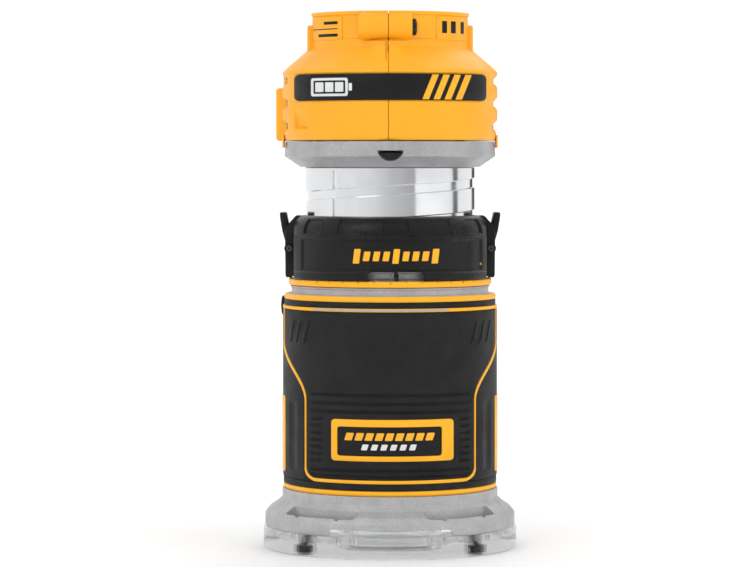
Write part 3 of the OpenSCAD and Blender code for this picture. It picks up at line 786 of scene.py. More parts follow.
def build_front_panel():
    low, high = front_low.z, front_high.z
    grooves = groove_lines()
    marks = [z + d for z, _, _ in grooves for d in (-0.5, 0.5)]
    zs = with_edges(lines(low, high, 1.0, marks, 0.2), low, high,
        EDGE_STEPS + [1.1, 1.6, 2.2, 3.0], EDGE_STEPS)
    us = with_edges(np.linspace(-1, 1, 97), -1, 1, [0.002, 0.007, 0.015], [0.002, 0.007, 0.015])
    u, z = np.meshgrid(us, zs, indexing="ij")
    half = panel_half(z)
    reach = np.degrees(np.arcsin(np.clip(half / GRIP_R, 0, 1)))
    x = GRIP_R * np.sin(np.radians(u * reach))
    radius = GRIP_R - roll(np.minimum(half - abs(x), np.minimum(z - low, high - z)), 0.5)
    for at, inner, outer in grooves:
        near = 1 - rise(abs(z - at), 0.5, 0.2)
        across = (1 - rise(abs(x), outer, 0.5)) * (rise(abs(x), inner, 0.5) if inner else 1)
        radius = radius - 0.7 * near * across
    panel = round_shell("grip_panel", FRONT + u * reach, radius, z, GRIP_INSIDE)
    piece(panel, "base", RUBBER, ["grip_front"], 60)


def build_corner_marks():
    """Three raised slanting bars in each top corner of the panel."""
    bars = []
    for side in (-1, 1):
        for i in range(3):
            middle = 51 + 7.2 * i
            bars.append(wrapped("bar",
                rounded([(-3.0, 83.8), (-0.6, 83.8), (3.0, 92.8), (0.6, 92.8)], 0.3, 2), 43.8, 0.7,
                0.3, side * middle))
    # the bars take the darker copy of the rubber, which paints shade on them
    piece(merge("corner_bars", bars), "base", SHADED_SIDE_RUBBER)


def side_shell(side):
    """The rubber round one side: side is -1 for the left and 1 for the right."""
    low, high = 29.05, 96.95
    zs = with_edges(lines(low, high, 1.5, [33, 60], 0.5), low, high, EDGE_STEPS, EDGE_STEPS)
    us = with_edges(np.linspace(0, 1, 150), 0, 1, [0.002, 0.005, 0.009], [0.002, 0.005, 0.009])
    u, z = np.meshgrid(us, zs, indexing="ij")
    half = panel_half(np.maximum(z, front_low.z))
    foot = front_low.z - 1.45
    front_edge = np.degrees(np.arcsin(np.clip(half / GRIP_R, 0, 1)) + 1.0 / GRIP_R)
    front_edge = np.where(z < foot, 0.0, front_edge)
    start = np.where(z < foot, 0.05, front_edge)
    from_front = start + (180 - REAR - start) * u
    arc = np.minimum(from_front - start, 180 - REAR - from_front) * radians(1) * GRIP_R
    radius = GRIP_R + 0.05 - roll(np.minimum(arc, np.minimum(z - low, high - z)), 0.55)
    flutes = 0
    for middle in (64, 116, 126):
        flutes = flutes + (1 - rise(abs(from_front - middle), 3.2, 2.4))
    radius = radius - 0.6 * np.clip(flutes, 0, 1) * within(z, 33, 60, 1.2)
    for at in (70, 76, 82, 88):
        ridge = within(from_front, 96, 138, 1.5) * (1 - rise(abs(z - at), 0.9, 0.6))
        radius = radius - 0.5 * ridge
    name = "left" if side < 0 else "right"
    rubber = round_shell("grip_side_" + name, FRONT + side * from_front, radius, z, GRIP_INSIDE)
    # the sides take the darker copy of the rubber, which paints shade on them
    piece(rubber, "base", SHADED_SIDE_RUBBER, ["grip_" + name], 60)


def build_sleeve():
    """The yellow carrier with its rings, and the thin outline round the front panel."""
    z0, z1 = GRIP_Z0, GRIP_Z1
    profile = [(41.06, z0, 0.2), (42.9, z0, 0.4), (43.4, z0 + 0.8, 0.5), (43.3, z0 + 2.0, 0.5),
        (42, z0 + 2.2, 0.1), (42, 97.0, 0.1), (43.5, 97.0, 0.3), (43.5, 98.3, 0.3),
        (42, 98.35, 0.1), (42, z1 - 2.2, 0.1), (42.8, z1 - 2.2, 0.4), (43.1, z1 - 1.2, 0.6),
        (42.6, z1, 0.5), (41.06, z1, 0.2)]
    sleeve = revolve("grip_sleeve", rounded(profile), *GRIP_TURN)
    piece(sleeve, "base", TRIM, ["grip_carrier"])

    foot = front_low.z
    path = [(x, foot) for x in np.linspace(0, PANEL_W - PANEL_CORNER, 16)[:-1]]
    for a in np.linspace(-90, 0, 9):
        path.append((PANEL_W - PANEL_CORNER + PANEL_CORNER * cos(radians(a)),
            foot + PANEL_CORNER + PANEL_CORNER * sin(radians(a))))
    path += [(float(panel_half(z)), z) for z in np.linspace(foot + 6, 97, 60)]
    path = [(-x, z) for x, z in path[:0:-1]] + path
    grown = []
    for i, (x, z) in enumerate(path):
        before, after = path[max(i - 1, 0)], path[min(i + 1, len(path) - 1)]
        along = (Vector(after) - Vector(before)).normalized()
        width = 0.6 + 0.8 * abs(along.x)
        width -= 0.42 * float(rise(z, 80.0, 6.0)) * abs(along.y)
        grown.append((x + along.y * width, z - along.x * width))
    across = np.array([0.02, 0.12, 0.3, 0.5, 0.7, 0.88, 0.98])
    inner_edge = np.array(path)[:, None, :]
    outer_edge = np.array(grown)[:, None, :]
    at = inner_edge + (outer_edge - inner_edge) * across[None, :, None]
    crown = GRIP_R - 0.1 + 0.22 * np.sin(np.pi * across) ** 0.5
    turn = FRONT + np.degrees(np.arcsin(np.clip(at[..., 0] / GRIP_R, -0.9995, 0.9995)))
    line = round_shell("panel_outline", turn, crown[None, :] + 0 * turn, at[..., 1], 42.0)
    piece(line, "base", TRIM, angle=50)

    bands = [rectangle(42.06, 26.36, 43.3, 29.0, (0.1, 0.3, 0.3, 0.1), 3),
        rectangle(42.06, 98.36, 42.9, 100.74, (0.1, 0.3, 0.3, 0.1), 3)]
    rings = [revolve("band", band, *GRIP_TURN) for band in bands]
    piece(merge("grip_trim_bands", rings), "base", RUBBER, ["grip_bands"])
    # a pale grey strip along part of the yellow line above the panel, from x -31 to 23
    pale_strip = wrapped("line_pale_strip", rectangle(-31, 97.25, 23.2, 98.1, 0.3), 43.62, 0.5, 0.1)
    piece(pale_strip, "base", PALE_GREY)


def build_badge():
    rim = wrapped("badge_rim", front_of(badge_low, badge_high, 1.6), 44.2, 2.1, 0.35)
    hole = wrapped("hole", front_of(plate_low, plate_high, 1.2), 44.2, 3, 0.05, proud=2)
    cut(rim, hole)
    piece(rim, "base", TRIM, ["badge_frame"])
    plate = wrapped("badge_face", front_of(plate_low, plate_high, 1.1, shrink=0.1), 43.8, 1.7,
        0.15)
    piece(plate, "base", PANEL, ["badge_plate"])
    middle = (plate_low.x + plate_high.x) / 2
    top = plate_high.z
    rows = (("badge_bars_yellow", 9, 4.0, 3.0, 17.5, -5.4, -2.4, 0.5, "label_yellow", MARK_YELLOW),
        ("badge_bars_white", 6, 3.8, 2.4, 11, -9.2, -6.9, 0.4, "panel_black", MARK_WHITE))
    for name, count, step, wide, left, low, high, lean, slot, look in rows:
        starts = [middle - left + step * i for i in range(count)]
        bars = [slanted(x, top + low, x + wide, top + high, lean) for x in starts]
        plates(name, bars, 43.92, 0.4, 0.06, "base", slot, look)


def front_of(low, high, radius, steps=4, shrink=0):
    """The rectangle that a box shows from the front, with rounded corners."""
    return rectangle(low.x + shrink, low.z + shrink, high.x - shrink, high.z - shrink, radius,
        steps)


def slanted(x1, z1, x2, z2, lean):
    """A bar whose top leans to the right."""
    return rounded([(x1 - lean, z1), (x2 - lean, z1), (x2 + lean, z2), (x1 + lean, z2)], 0.3, 2)


def build_side_labels():
    labels = []
    for turn in (90, -90):
        labels.append(wrapped("label", rectangle(-10.9, 31.2, 10.9, 61.8, 1.5), 43.82, 0.4, 0.08,
            turn))
    piece(merge("side_plates", labels), "base", MARK_YELLOW, ["side_labels"])


def build_lever():
    z = (lever_low.z + lever_high.z) / 2
    x, y = -15.5, BOLT_Y
    pivot = (x, y, z)
    arm = rounded([(45.2, z - 4.2, 0.9), (48.8, z - 4.2, 1.6), (49.2, z, 2.0),
        (48.8, z + 4.2, 1.6), (45.2, z + 4.2, 0.9)], steps=4)
    lever = revolve("clamp_handle", arm, 108, 156, 60)
    barrel = rod("barrel", [(6.0, -4.5, 0.8), (6.0, 4.5, 0.8)], UP, pivot, corner_steps=4)
    join(lever, barrel)
    cut(lever, pin("pin", 1.55, -6, 6, UP, pivot, 32), rod("eye", [(6.6, -3, 0), (6.6, 3, 0)], UP,
        pivot), block("slot", (x, y - 4.6, z - 3), (x + 12, y + 4.6, z + 3), 0.3))
    piece(lever, "clamp", BLACK, ["clamp_lever"])


# ---- the depth ring

def build_scale_ring():
    r = scale_high.x
    z0, z1 = scale_low.z, scale_high.z
    profile = rectangle(37.95, z0, r, z1, (0.1, 0.5, 0.5, 0.1), 3)
    ring = revolve("zero_ring", profile, steps=256)
    notches = []
    for i in range(40):
        notch = block("notch", (r - 0.6, -0.22, z1 - (1.1 if i % 5 == 0 else 0.7)),
            (r + 1, 0.22, z1 + 0.5), 0.05, 1)
        notches.append(turned_to(notch, 9 * i))
    cut(ring, merge("notches", notches))
    piece(ring, "zero_scale", TRIM, ["scale_ring"])


RING_SHOULDER = 126.5
PAD_STEP, PAD_FIRST = 26.5, 273.0


def ring_profile():
    """The ring's outside from bottom to top: a lower lip, the band, a ledge and the shoulder."""
    points = [(41.6, RING_Z0), (42.0, RING_Z0 + 0.4), (42.05, 112.0), (RING_R, 112.6),
        (RING_R, RING_SHOULDER - 0.4), (RING_R - 0.3, RING_SHOULDER),
        (RING_R - 0.9, RING_SHOULDER + 0.1)]
    for a in range(8, 86, 6):
        t = radians(a)
        points.append((36.1 + (RING_R - 1.0 - 36.1) * cos(t), RING_SHOULDER + 0.3 + 7.6 * sin(t)))
    return sampled(points + [(35.6, RING_Z1)], 0.3)


def build_depth_ring():
    outline = ring_profile()
    along = np.gradient(outline, axis=0)
    along /= np.linalg.norm(along, axis=1)[:, None]
    normal = np.stack([along[:, 1], -along[:, 0]], axis=1)
    pads = [PAD_FIRST + PAD_STEP * i for i in range(-6, 7)]
    pads = [p for p in pads if min(abs((p - t + 180) % 360 - 180) for t in (0, 180)) > 17]
    half = 7.0
    marks = [p + s for p in pads for s in (-half, half)]
    marks = [m - 360 if m > 360 else m for m in marks]
    marks += [FRONT - 56.4, FRONT + 59.5]
    angles = lines(0, 360, 1.4, marks, 0.3)[:-1]
    a, j = np.meshgrid(angles, np.arange(len(outline)), indexing="ij")
    r, z = outline[j, 0], outline[j, 1]
    depth = np.zeros_like(r)
    for p in pads:
        off = (a - p + 180) % 360 - 180
        depth += 0.8 * within(off, -half, half, 0.25) * within(z, 127.7, 133.3, 0.22)
    x = r * np.cos(np.radians(a))
    y = r * np.sin(np.radians(a))
    face = within(x, -35.4, 36.6, 0.25) * within(z, 113.3, 125.2, 0.22) * (y < 0)
    depth += 0.6 * face
    radius = r - depth * normal[j, 0]
    height = z - depth * normal[j, 1]
    outer = on_axis(a, radius, height)
    inside = np.where(z < 115.4, 38.3, CAN_R + 0.3)
    inner = on_axis(a, inside, z)
    ring = skin("adjusting_ring", outer, inner, wrap=True)
    cheeks, bosses, heads = [], [], []
    for s in (-1, 1):
        shape = [(37.6, 110.0, 0.5), (42.3, 110.0, 0.8), (42.45, 127.2, 1.5), (41.2, 131.0, 1.5),
            (38.2, 134.4, 0.8), (36.0, 134.4, 0.4), (36.0, 132.0, 0.3), (37.6, 126, 0.5)]
        for y0 in (-9.5, 7.4):
            cheeks.append(extrude("cheek", rounded(mirrored(shape, s)), y0, y0 + 2.1, 0.35))
        for y0, away in ((-9.4, -1), (9.4, 1)):
            bosses.append(rod("boss", [(1.95, -0.5), (1.95, 1.0, 0.3), (1.25, 1.0, 0.1),
                (1.25, 0.3)], (0, away, 0), (s * TAB_PIN_X, y0, TAB_PIN_Z)))
            heads.append(lathe("head", rectangle(0.5, 0.32, 1.2, 0.8, (0, 0, 0.2, 0.1), 3),
                (0, away, 0), (s * TAB_PIN_X, y0, TAB_PIN_Z), 32))
    cut(ring, *[block("slot", *sorted_corners((s * x, -y, 100), (s * 50, y, 140)), 0.3)
        for s in (-1, 1) for x, y in ((37.3, 7.35), (38.7, 20))])
    join(ring, *cheeks, *bosses)
    cut(ring, extrude("window", rectangle(-8.7, 100, 13.2, 112.7, 1.3), -60, -28, 0.05),
        pin("bore", CAN_R + 0.3, 100, 140, steps=224), pin("seat", 38.3, 100, 115.4, steps=224))
    pointer = rounded([(1.5, 109.3), (3.3, 109.3), (3.3, 111.6), (2.4, 113), (1.5, 111.6)], 0.3)
    mark = wrapped("pointer", pointer, 41.4, 2.6, 0.2)
    join(ring, mark)
    piece(ring, "ring", BLACK, ["depth_ring"], 35)
    piece(merge("tab_pin_heads", heads), "ring", DARK_STEEL)

    middle = 2.4
    bars = []
    for i in range(9):
        x = middle - 17 + 3.9 * i
        tall = 2.9 if i in (0, 4, 8) else 1.9
        bars.append(wrapped("bar", slanted(x, 119 - tall, x + 2.5, 119 + tall, 0.35), 42.3, 0.4,
            0.06))
    bars.append(wrapped("dot", rectangle(36.1, 115.0, 36.9, 115.8, 0.3), 42.3, 0.4, 0.05))
    piece(merge("ring_scale_marks", bars), "ring", MARK_YELLOW)


def build_tabs():
    for s, name in ((-1, "left"), (1, "right")):
        shape = [(39.6, tab_low.z, 0.4), (42.3, tab_low.z, 0.8), (42.45, 124.0, 1.5),
            (43.7, 128.5, 3.0), (44.6, 134.2, 0.8), (44.6, tab_high.z, 0.6),
            (42.0, tab_high.z, 0.8), (41.2, 131.5, 2.0), (39.9, 128.4, 1.5), (39.6, 125.0, 0.6)]
        outline = rounded(mirrored(shape, s), steps=4)
        tab = extrude("tab_" + name, outline, -6.9, 6.9, 0.6)
        hook = block("hook", *sorted_corners((s * 36.8, -4, tab_low.z + 0.55),
            (s * 40.5, 4, tab_low.z + 2.2)), 0.3)
        join(tab, hook)
        ribs = []
        for i in range(4):
            at = Vector((s * (43.5 + 0.45 * i), 0, 127.2 + 2.0 * i))
            ribs.append(rod("rib", [(0.45, -5, 0.2), (0.45, 5, 0.2)], BACK, at, 16))
        bore = pin("bore", 0.85, -12, 12, BACK, (s * TAB_PIN_X, 0, TAB_PIN_Z), 32)
        gaps = [block("gap", *sorted_corners((s * (TAB_PIN_X - 1.6), y, TAB_PIN_Z - 1.6),
            (s * (TAB_PIN_X + 1.6), y + 3, TAB_PIN_Z + 1.6)), 0.2) for y in (-8, 5)]
        cut(tab, *ribs, bore, *gaps)
        piece(tab, name + "_tab", BLACK, ["release_tab_" + name])


def sorted_corners(a, b):
    """The lowest and highest corner of the box between two points."""
    return [min(p) for p in zip(a, b)], [max(p) for p in zip(a, b)]


# ---- the motor unit

GROOVE_PITCH, GROOVE_W, GROOVE_D = 12.7, 3.7, 0.8
GROOVE_FRONT_Z = 144.9
GROOVE_LOW, GROOVE_HIGH = 97.0, 150.6
CAN_STEPS = 240


def build_can():
    """The tube, cut by the helical groove on the same angular steps, and by the guide grooves."""
    tube = [(CAN_R - 2.5, CAN_Z0, 0.2), (CAN_R, CAN_Z0, 0.6), (CAN_R, CAN_Z1, 0.5),
        (CAN_R - 2.5, CAN_Z1, 0.2)]
    can = revolve("motor_tube", rounded(tube), steps=CAN_STEPS)
    half = GROOVE_W / 2
    section = [(CAN_R - GROOVE_D, 0.15 - half), (CAN_R - GROOVE_D, half - 0.15),
        (CAN_R - 0.15, half), (CAN_R + 0.5, half + 0.6), (CAN_R + 0.5, -half - 0.6),
        (CAN_R - 0.15, -half)]
    first = ceil((GROOVE_LOW - GROOVE_FRONT_Z) / GROOVE_PITCH * CAN_STEPS)
    last = floor((GROOVE_HIGH - GROOVE_FRONT_Z) / GROOVE_PITCH * CAN_STEPS)
    verts = []
    for i in range(first, last + 1):
        a = radians(FRONT + 360 * i / CAN_STEPS)
        middle = GROOVE_FRONT_Z + GROOVE_PITCH * i / CAN_STEPS
        verts += [(r * cos(a), r * sin(a), middle + z) for r, z in section]
    cut(can, solid("helix", verts, swept_faces(last - first + 1, len(section))))
    for a in (50, 230):
        slot = block("slot", (CAN_R - GROOVE_D, -1.05, CAN_Z0 - 5), (CAN_R + 3, 1.05, 152.6), 0.2,
            2)
        cut(can, turned_to(slot, a))
    piece(can, "motor", CAN, ["motor_can"], 30)


BUTTON_TOP, BUTTON_R, BUTTON_C = 160.4, 4.96, 161.66
STEM_Z = 159.0


def build_cap():
    z1 = CAP_Z1
    profile = [(31.95, 148, 0.3), (31.95, 154.1, 0.1), (36.3, 154.1, 0.4),
        (CAP_R - 0.2, 158.5, 0.9), (CAP_R - 0.7, z1, 0.35), (40.4, z1, 0.2), (40.4, 159.2, 0.6),
        (28, 159.2, 0.6), (28, 148, 0.3)]
    cap = revolve("cast_cap", rounded(profile, steps=5), steps=256)
    boss = rod("boss", [(5.5, 158.3, 0.3), (5.5, z1 - 0.05, 0.2)])
    join(cap, moved(boss, -0.3, -38.4))
    cut(cap, extrude("seat", button_outline(0.22), -60, -30.5, 0.05),
        pin("pocket", 3.5, 0, 8, (0, -1, 0), (0, -26, STEM_Z), 48))
    web = revolve("floor", rectangle(11, 156.2, 29, 159.2, 0.3, 3), steps=96)
    vents = [revolve("vent", [(16, 140), (25.5, 140), (25.5, 170), (16, 170)], a + 22, a + 68, 16)
        for a in (0, 90, 180, 270)]
    cut(web, *vents)
    join(cap, web)
    piece(cap, "motor", CAP, ["motor_cap"], 30)
    screws = [rod("screw", [(1.4, 156.9, 0.3), (1.4, 167.4, 0.3)], UP, (*spot(37.4, a), 0), 32)
        for a in (40, 140, 220, 320)]
    piece(merge("cap_screw_shanks", screws), "motor", OXIDE, ["cap_screws"])


def button_outline(grow):
    """Flat on top and round below, as seen from the front."""
    radius, top = BUTTON_R + grow, BUTTON_TOP + grow
    first = degrees(asin((BUTTON_C - top) / radius))
    arc = [radians(180 + first + (180 - 2 * first) * i / 16) for i in range(17)]
    points = [(radius * cos(a), BUTTON_C + radius * sin(a), 0) for a in arc]
    points[0] = points[0][:2] + (0.5,)
    points[-1] = points[-1][:2] + (0.5,)
    return rounded(points)


def build_lock_button():
    y = button_low.y
    button = extrude("lock_button", button_outline(0), y + 0.1, -34, 0.6)
    stem = rod("stem", [(2, 0, 0.3), (2, 24, 0.3)], BACK, (0, -35, STEM_Z), 32)
    join(button, stem)
    piece(button, "lock_button", BLACK, ["spindle_lock_button"])


def build_lock_spring():
    """The compression spring behind the button."""
    front, back, coil, wire, turns, travel = -33.6, -26.6, 2.9, 0.3, 4, 3.0
    count = 24 * turns + 1
    verts = []
    for i in range(count):
        turn = radians(15 * i)
        y = front + wire + (back - front - 2 * wire) * i / (count - 1)
        for k in range(8):
            t = radians(45 * k)
            r = coil + wire * cos(t)
            verts.append((r * cos(turn), y + wire * sin(t), STEM_Z + r * sin(turn)))
    spring = piece(solid("lock_spring", verts, swept_faces(count, 8)), "motor", STEEL,
        ["spindle_lock_spring"], 60)
    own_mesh(spring)


VENTS = (169.4, 178.5, 187.6)
VENT_H = 2.4
SEAM_X = -0.8
BOSS_R, BOSS_Y = 5.6, -30.0
WALL = 2.5


def barrel_profile():
    points = rounded([(42.2, HOUSE_Z0, 0.5), (43.2, HOUSE_Z0 + 1.4, 1.0), (HOUSE_R, 171.0, 3.0),
        (HOUSE_R, 192.4, 1.8), (35.8, 199.2, 3.0), (32.4, 202.2, 1.5), (32.4, 205.0, 0)], steps=6)
    return sampled([p for p in points if p[1] > HOUSE_Z0 + 0.01 or p[0] > 42.0], 0.6)


def build_barrel():
    """The round wall of the housing, with rounded vents, the dimple and the band's seat."""
    outline = barrel_profile()
    angles = lines(0, 360, 1.5, (24, 346, 177, 194, 206.5, 333.5), 0.6)[:-1]
    angles = np.unique(np.concatenate([angles, np.arange(205, 225, 0.5),
        FRONT + np.arange(-14, 14, 0.6)]))
    a, j = np.meshgrid(angles, np.arange(len(outline)), indexing="ij")
    r, z = outline[j, 0], outline[j, 1]
    x = r * np.cos(np.radians(a))
    depth = np.zeros_like(r)
    sides = np.maximum(within((a + 180) % 360 - 180, -17, 25, 1.6), within(a, 176, 197, 1.6))
    for low in VENTS:
        middle = low + VENT_H / 2
        depth += 1.5 * sides * (1 - rise(abs(z - middle), 1.6, 1.2))
    front = (a > 200) & (a < 340)
    # the front stands a little proud of the sides, where the vents are
    depth += 0.35 * (1 - within(a, 207, 333, 0.8)) * within(z, 166, 194, 1.0)
    seat = within(x, band_low.x - 0.5, band_high.x + 0.9, 0.35)
    seat = seat * within(z, band_low.z - 0.35, band_high.z + 0.35, 0.3) * front
    depth += 0.4 * seat
    # a small triangular scoop low on the left
    inside = rise(x + 38.6, 0.2, 0.3) * (1 - rise((z - 169.4) * 0.62 + x + 38.6, 5.6, 0.5))
    scoop = inside * rise(z - 169.4, 0.2, 0.25) * (1 - 0.8 * rise(z - 169.4, 4.5, 4.0)) * front
    depth += 1.7 * scoop
    # the cone swells into the screw's boss above it
    swell = np.exp(-((x + 1.9) / 6.5) ** 4) * rise(z, 201.0, 4.5) * (z < 204) * front
    depth -= 3.0 * swell
    radius = r - depth
    outer = on_axis(a, radius, z)
    inner = on_axis(a, np.maximum(r - WALL, 29.4), np.minimum(z, 199.5 + 0 * z))
    return skin("barrel", outer, inner, wrap=True)


def build_housing():
    top = HOUSE_TOP
    shell = build_barrel()
    pod_turn = 157
    pod = block("pod", (25, -13, HOUSE_Z0 + 0.3), (45.4, 13, 186.2), 1.3, 4)
    turned_to(pod, pod_turn)
    rails = block("rails", (-33.4, -9, 199), (33.4, 36, 211), 1.0, 3)
    arc = rounded([(27.8, 203, 0.3), (32.2, 203, 0.3), (32.2, top - 1.7, 0.3),
        (32.7, top - 1.3, 0.3), (32.7, top, 0.4), (27.8, top, 0.6)], steps=4)
    collar = revolve("collar", arc, 194, 346, 120)
    flats = [wrapped("plate", rectangle(x1, 204.6, x2, top - 1.9, 1.0), 32.6, 1.2, 0.14, step=0.8)
        for x1, x2 in ((-31.4, -19.2), (18.4, 31.4))]
    z = (screw_low.z + screw_high.z) / 2
    boss_z = z + 0.4
    boss = rod("boss", [(BOSS_R, -12.8, 2.4), (BOSS_R, 8.7, 0.5)], RIGHT, (0, BOSS_Y, boss_z),
        corner_steps=6)
    tongues = [revolve("tongue", rectangle(43.3, 161.9, 43.8, 167, (0.2, 0.2, 0.1, 0.1), 3), a - 9,
        a + 9, 12) for a in (0, 180)]
    ledges = [block("ledge", (x, -8, 203), (x + 2.6, 33, 211.2), 0.8) for x in (-33.4, 30.8)]
    join(shell, rails, pod)
    join(shell, collar)
    join(shell, boss, *ledges)
    join(shell, *flats, *tongues)
    cutters = [block("slot", (-27, -6, 202.5), (27, 60, 222), 0.6, 2),
        block("grooves", (-30.5, -6, 203.5), (30.5, 60, 207.5), 0.4, 2),
        rod("mouth", [(27.8, 206, 0.3), (27.8, 230)], steps=96),
        block("terminals", (-16.2, -12.2, 185), (16.2, 14.2, 210), 0.3, 2),
        block("rocker", (-7.5, 36, 174), (7.5, 50, 190), 0.9, 3),
        extrude("seam_slot", rounded([(-46, 196.2), (-38.0, 196.2), (-34.4, 200.4), (-33.6, 204.9),
        (-46, 204.9)]), -2.0, -0.9, 0.15, "yz")]
    dial = block("dial", (30, -8.9, 170.2), (52, 8.9, 179.8), 0.5, 2)
    cutters.append(turned_to(dial, pod_turn))
    for low in VENTS:
        for start, stop in ((-14, 23), (178, 194)):
            lips = rectangle(38, low, 48, low + VENT_H, 0.4, 3)
            cutters.append(revolve("vent", lips, start, stop, 40))
    cut(shell, *cutters)
    pod_space = block("pod_space", (24, -11, HOUSE_Z0 + 2.3), (43.4, 11, 184.2), 0.8)
    turned_to(pod_space, pod_turn)
    inside = rod("inside", [(HOUSE_R - WALL, HOUSE_Z0 - 5), (HOUSE_R - WALL, 191), (32, 198.9)],
        steps=160)
    cut(shell, inside, pod_space)
    cut(shell, *seam_grooves(boss_z))
    for side, name in ((-1, "left"), (1, "right")):
        half = shell.copy()
        half.data = shell.data.copy()
        half.name = "housing_shell_" + name
        scene.collection.objects.link(half)
        low, high = sorted_corners((SEAM_X + side * 0.01, -70, 150), (side * 70, 70, 230))
        combine(half, [block("half", low, high, 0.05, 1)], "INTERSECT")
        piece(half, "motor", YELLOW, ["housing_" + name], 30)
    bpy.data.objects.remove(shell)
    head = rod("boss_screw", [(3.4, 8.4, 0.2), (3.4, 10.0, 0.7), (1.9, 10.6, 0.2),
        (1.6, 9.8, 0.1)], RIGHT, (0, BOSS_Y, z), 48)
    shaft = rod("shaft", [(2, -11, 0.4), (2, 8.6)], RIGHT, (0, BOSS_Y, z), 32)
    join(head, shaft)
    piece(head, "motor", OXIDE, ["housing_screws"])


def build_plate_bars():
    """Plain dark bars where the plates on the collar carry small print."""
    bars = ((-26.6, 210.9, -21.0, 212.1), (-31.0, 208.9, -21.0, 209.3),
        (-28.8, 206.0, -21.0, 207.2), (20.6, 207.4, 22.6, 212.2), (24.2, 207.4, 26.2, 212.2),
        (28.2, 207.4, 29.6, 212.2))
    plates("plate_bars", [rectangle(*bar, 0.15, 2) for bar in bars], 32.64, 0.3, 0.03, "motor",
        "panel_black", PANEL, step=0.8)


def seam_grooves(boss_z):
    """Narrow cutters that open the line where the two halves meet, at front and back."""
    wide, deep = 0.17, 0.45
    outline = barrel_profile()
    band = [(r - deep, z) for r, z in outline] + [(r + 2, z) for r, z in outline[::-1]]
    spread = degrees(wide / HOUSE_R)
    grooves = [revolve("groove", band, a - spread, a + spread, 2) for a in (90, FRONT)]
    low, high = BOSS_R - deep, BOSS_R + 2
    grooves.append(lathe("groove", [(low, -wide), (high, -wide), (high, wide), (low, wide)], RIGHT,
        (0, BOSS_Y, boss_z)))
    for groove in grooves:
        groove.data.transform(Matrix.Translation((SEAM_X * MM, 0, 0)))
    return grooves


def build_vent_shade_strips():
    """Black strips that close the bottom of each vent: painted shade inside the vents."""
    rings = []
    for low in VENTS:
        for start, stop in ((-13.9, 22.9), (178.1, 193.9)):
            strip = rectangle(40.6, low + 0.06, 41.9, low + VENT_H - 0.06, 0.2, 3)
            rings.append(revolve("shade_strip", strip, start, stop, 40))
    # black strips in the vents: painted shade
    piece(merge("vent_shade_strips", rings), "motor", BLACK)


def build_band():
    low, high = band_low, band_high
    film = wrapped("band_film", front_of(low, high, 2.2, 6), 44.2, 1.0, 0.22)
    piece(film, "motor", PANEL, ["band_panel"])
    middle = (low.z + high.z) / 2
    face = 44.3
    cell = wrapped("cell", rectangle(-31.5, middle - 3.6, -16.8, middle + 3.6, 1.0), face, 0.4,
        0.06)
    cut(cell, wrapped("hole", rectangle(-30.5, middle - 2.6, -17.8, middle + 2.6, 0.5), face, 2,
        0.05, proud=2))
    parts = [cell, wrapped("nub", rectangle(-16.5, middle - 1.5, -15.2, middle + 1.5, 0.4), face,
        0.4, 0.06)]
    for i in range(3):
        x = -29.8 + 3.95 * i
        parts.append(wrapped("bar", rectangle(x, middle - 1.9, x + 3.3, middle + 1.9, 0.3), face,
            0.4, 0.06))
    piece(merge("band_cell_mark", parts), "motor", MARK_WHITE)
    z0, z1 = low.z + 0.35, high.z - 0.35
    bars = [rounded([(x - 2.0, z0), (x + 0.6, z0), (x + 4.6, z1), (x + 2.0, z1)], 0.2, 2)
        for x in (14.5 + 4.4 * i for i in range(4))]
    plates("band_slash_marks", bars, face, 0.4, 0.06, "motor", "label_yellow", MARK_YELLOW)


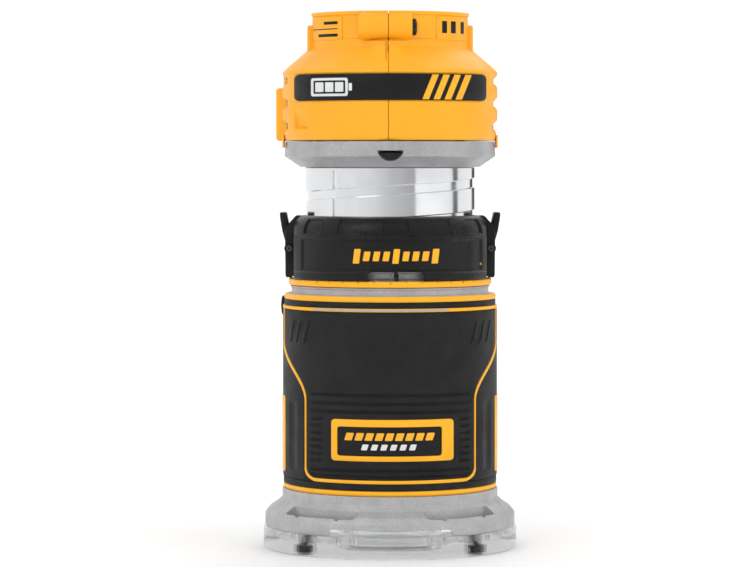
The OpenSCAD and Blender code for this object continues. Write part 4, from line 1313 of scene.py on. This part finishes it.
def build_rocker():
    low, high = corners("power_switch")
    y, z = 41.0, (low.z + high.z) / 2
    outline = [(y - 1.5, z - 6.8, 0.4), (y + 3, z - 7.2, 0.8), (y + 3.6, z - 4.4, 1.5),
        (y + 3.0, z, 3), (y + 3.6, z + 4.4, 1.5), (y + 3, z + 7.2, 0.8), (y - 1.5, z + 6.8, 0.4),
        (y - 3.5, z + 2, 0.4), (y - 3.5, z - 2, 0.4)]
    rocker = extrude("rocker_switch", rounded(outline, steps=4), low.x, high.x, 0.5, "yz")
    piece(rocker, "rocker", BLACK, ["power_switch"])
    marks = [lathe("ring", rectangle(0.9, 3.3, 1.4, 3.75, 0, 3), BACK, (0, y, z + 4.3), 32),
        block("line", (-0.25, y + 3.3, z - 5.6), (0.25, y + 3.8, z - 3.0), 0.1, 1)]
    piece(merge("rocker_marks", marks), "rocker", MARK_WHITE)


def build_dial():
    low, high = corners("speed_dial")
    middle = (low + high) / 2
    angles = np.arange(0, 360, 1.5)
    zs = np.array([0, 0.15, 0.35, 0.7, 1.4, 4, 6.6, 7.3, 7.65, 7.85, 8]) + low.z
    a, z = np.meshgrid(angles, zs, indexing="ij")
    wave = 0.5 - 0.5 * np.cos(np.radians(a * 24))
    radius = 10.5 - 0.6 * wave ** 3 - roll(np.minimum(z - low.z, high.z - z), 0.7)
    dial = round_shell("dial_wheel", a, radius, z, 3.1, wrap=True)
    moved(dial, middle.x, middle.y)
    piece(dial, "dial", BLACK, ["speed_dial"], 50)


# ---- what stays as CAD

CAD_LOOKS = ((STEEL,
    "guide_pins clamp_bolt clamp_nut clamp_lever_pin ring_keys tab_pins tab_springs"),
    (STEEL, "through_bolts upper_bearing lower_bearing spindle dial_potentiometer"),
    (OXIDE, "sub_base_screws retaining_ring"), (BASE, "nose_plate"),
    (LAMINATED, "stator_core rotor_core"), (COPPER, "stator_windings"), (MAGNET, "rotor_magnets"),
    (BRASS, "terminal_blades"), (BLACK, "terminal_block switch_body fan"),
    (BOARD, "controller_board led_board"), (CLEAR, "led_lens"), (DARK_STEEL, "collet collet_nut"))


def finish_cad_nodes():
    for look, names in CAD_LOOKS:
        for node in (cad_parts[name] for name in names.split()):
            if not node.material_slots:
                node.data.materials.append(look)
            for place in node.material_slots:
                place.material = look


build_stage()
build_sub_base()
build_base_casting()
build_front_panel()
build_corner_marks()
side_shell(-1)
side_shell(1)
build_sleeve()
build_badge()
build_side_labels()
build_lever()
build_scale_ring()
build_depth_ring()
build_tabs()
build_can()
build_cap()
build_lock_button()
build_lock_spring()
build_housing()
build_plate_bars()
build_vent_shade_strips()
build_band()
build_rocker()
build_dial()
finish_cad_nodes()
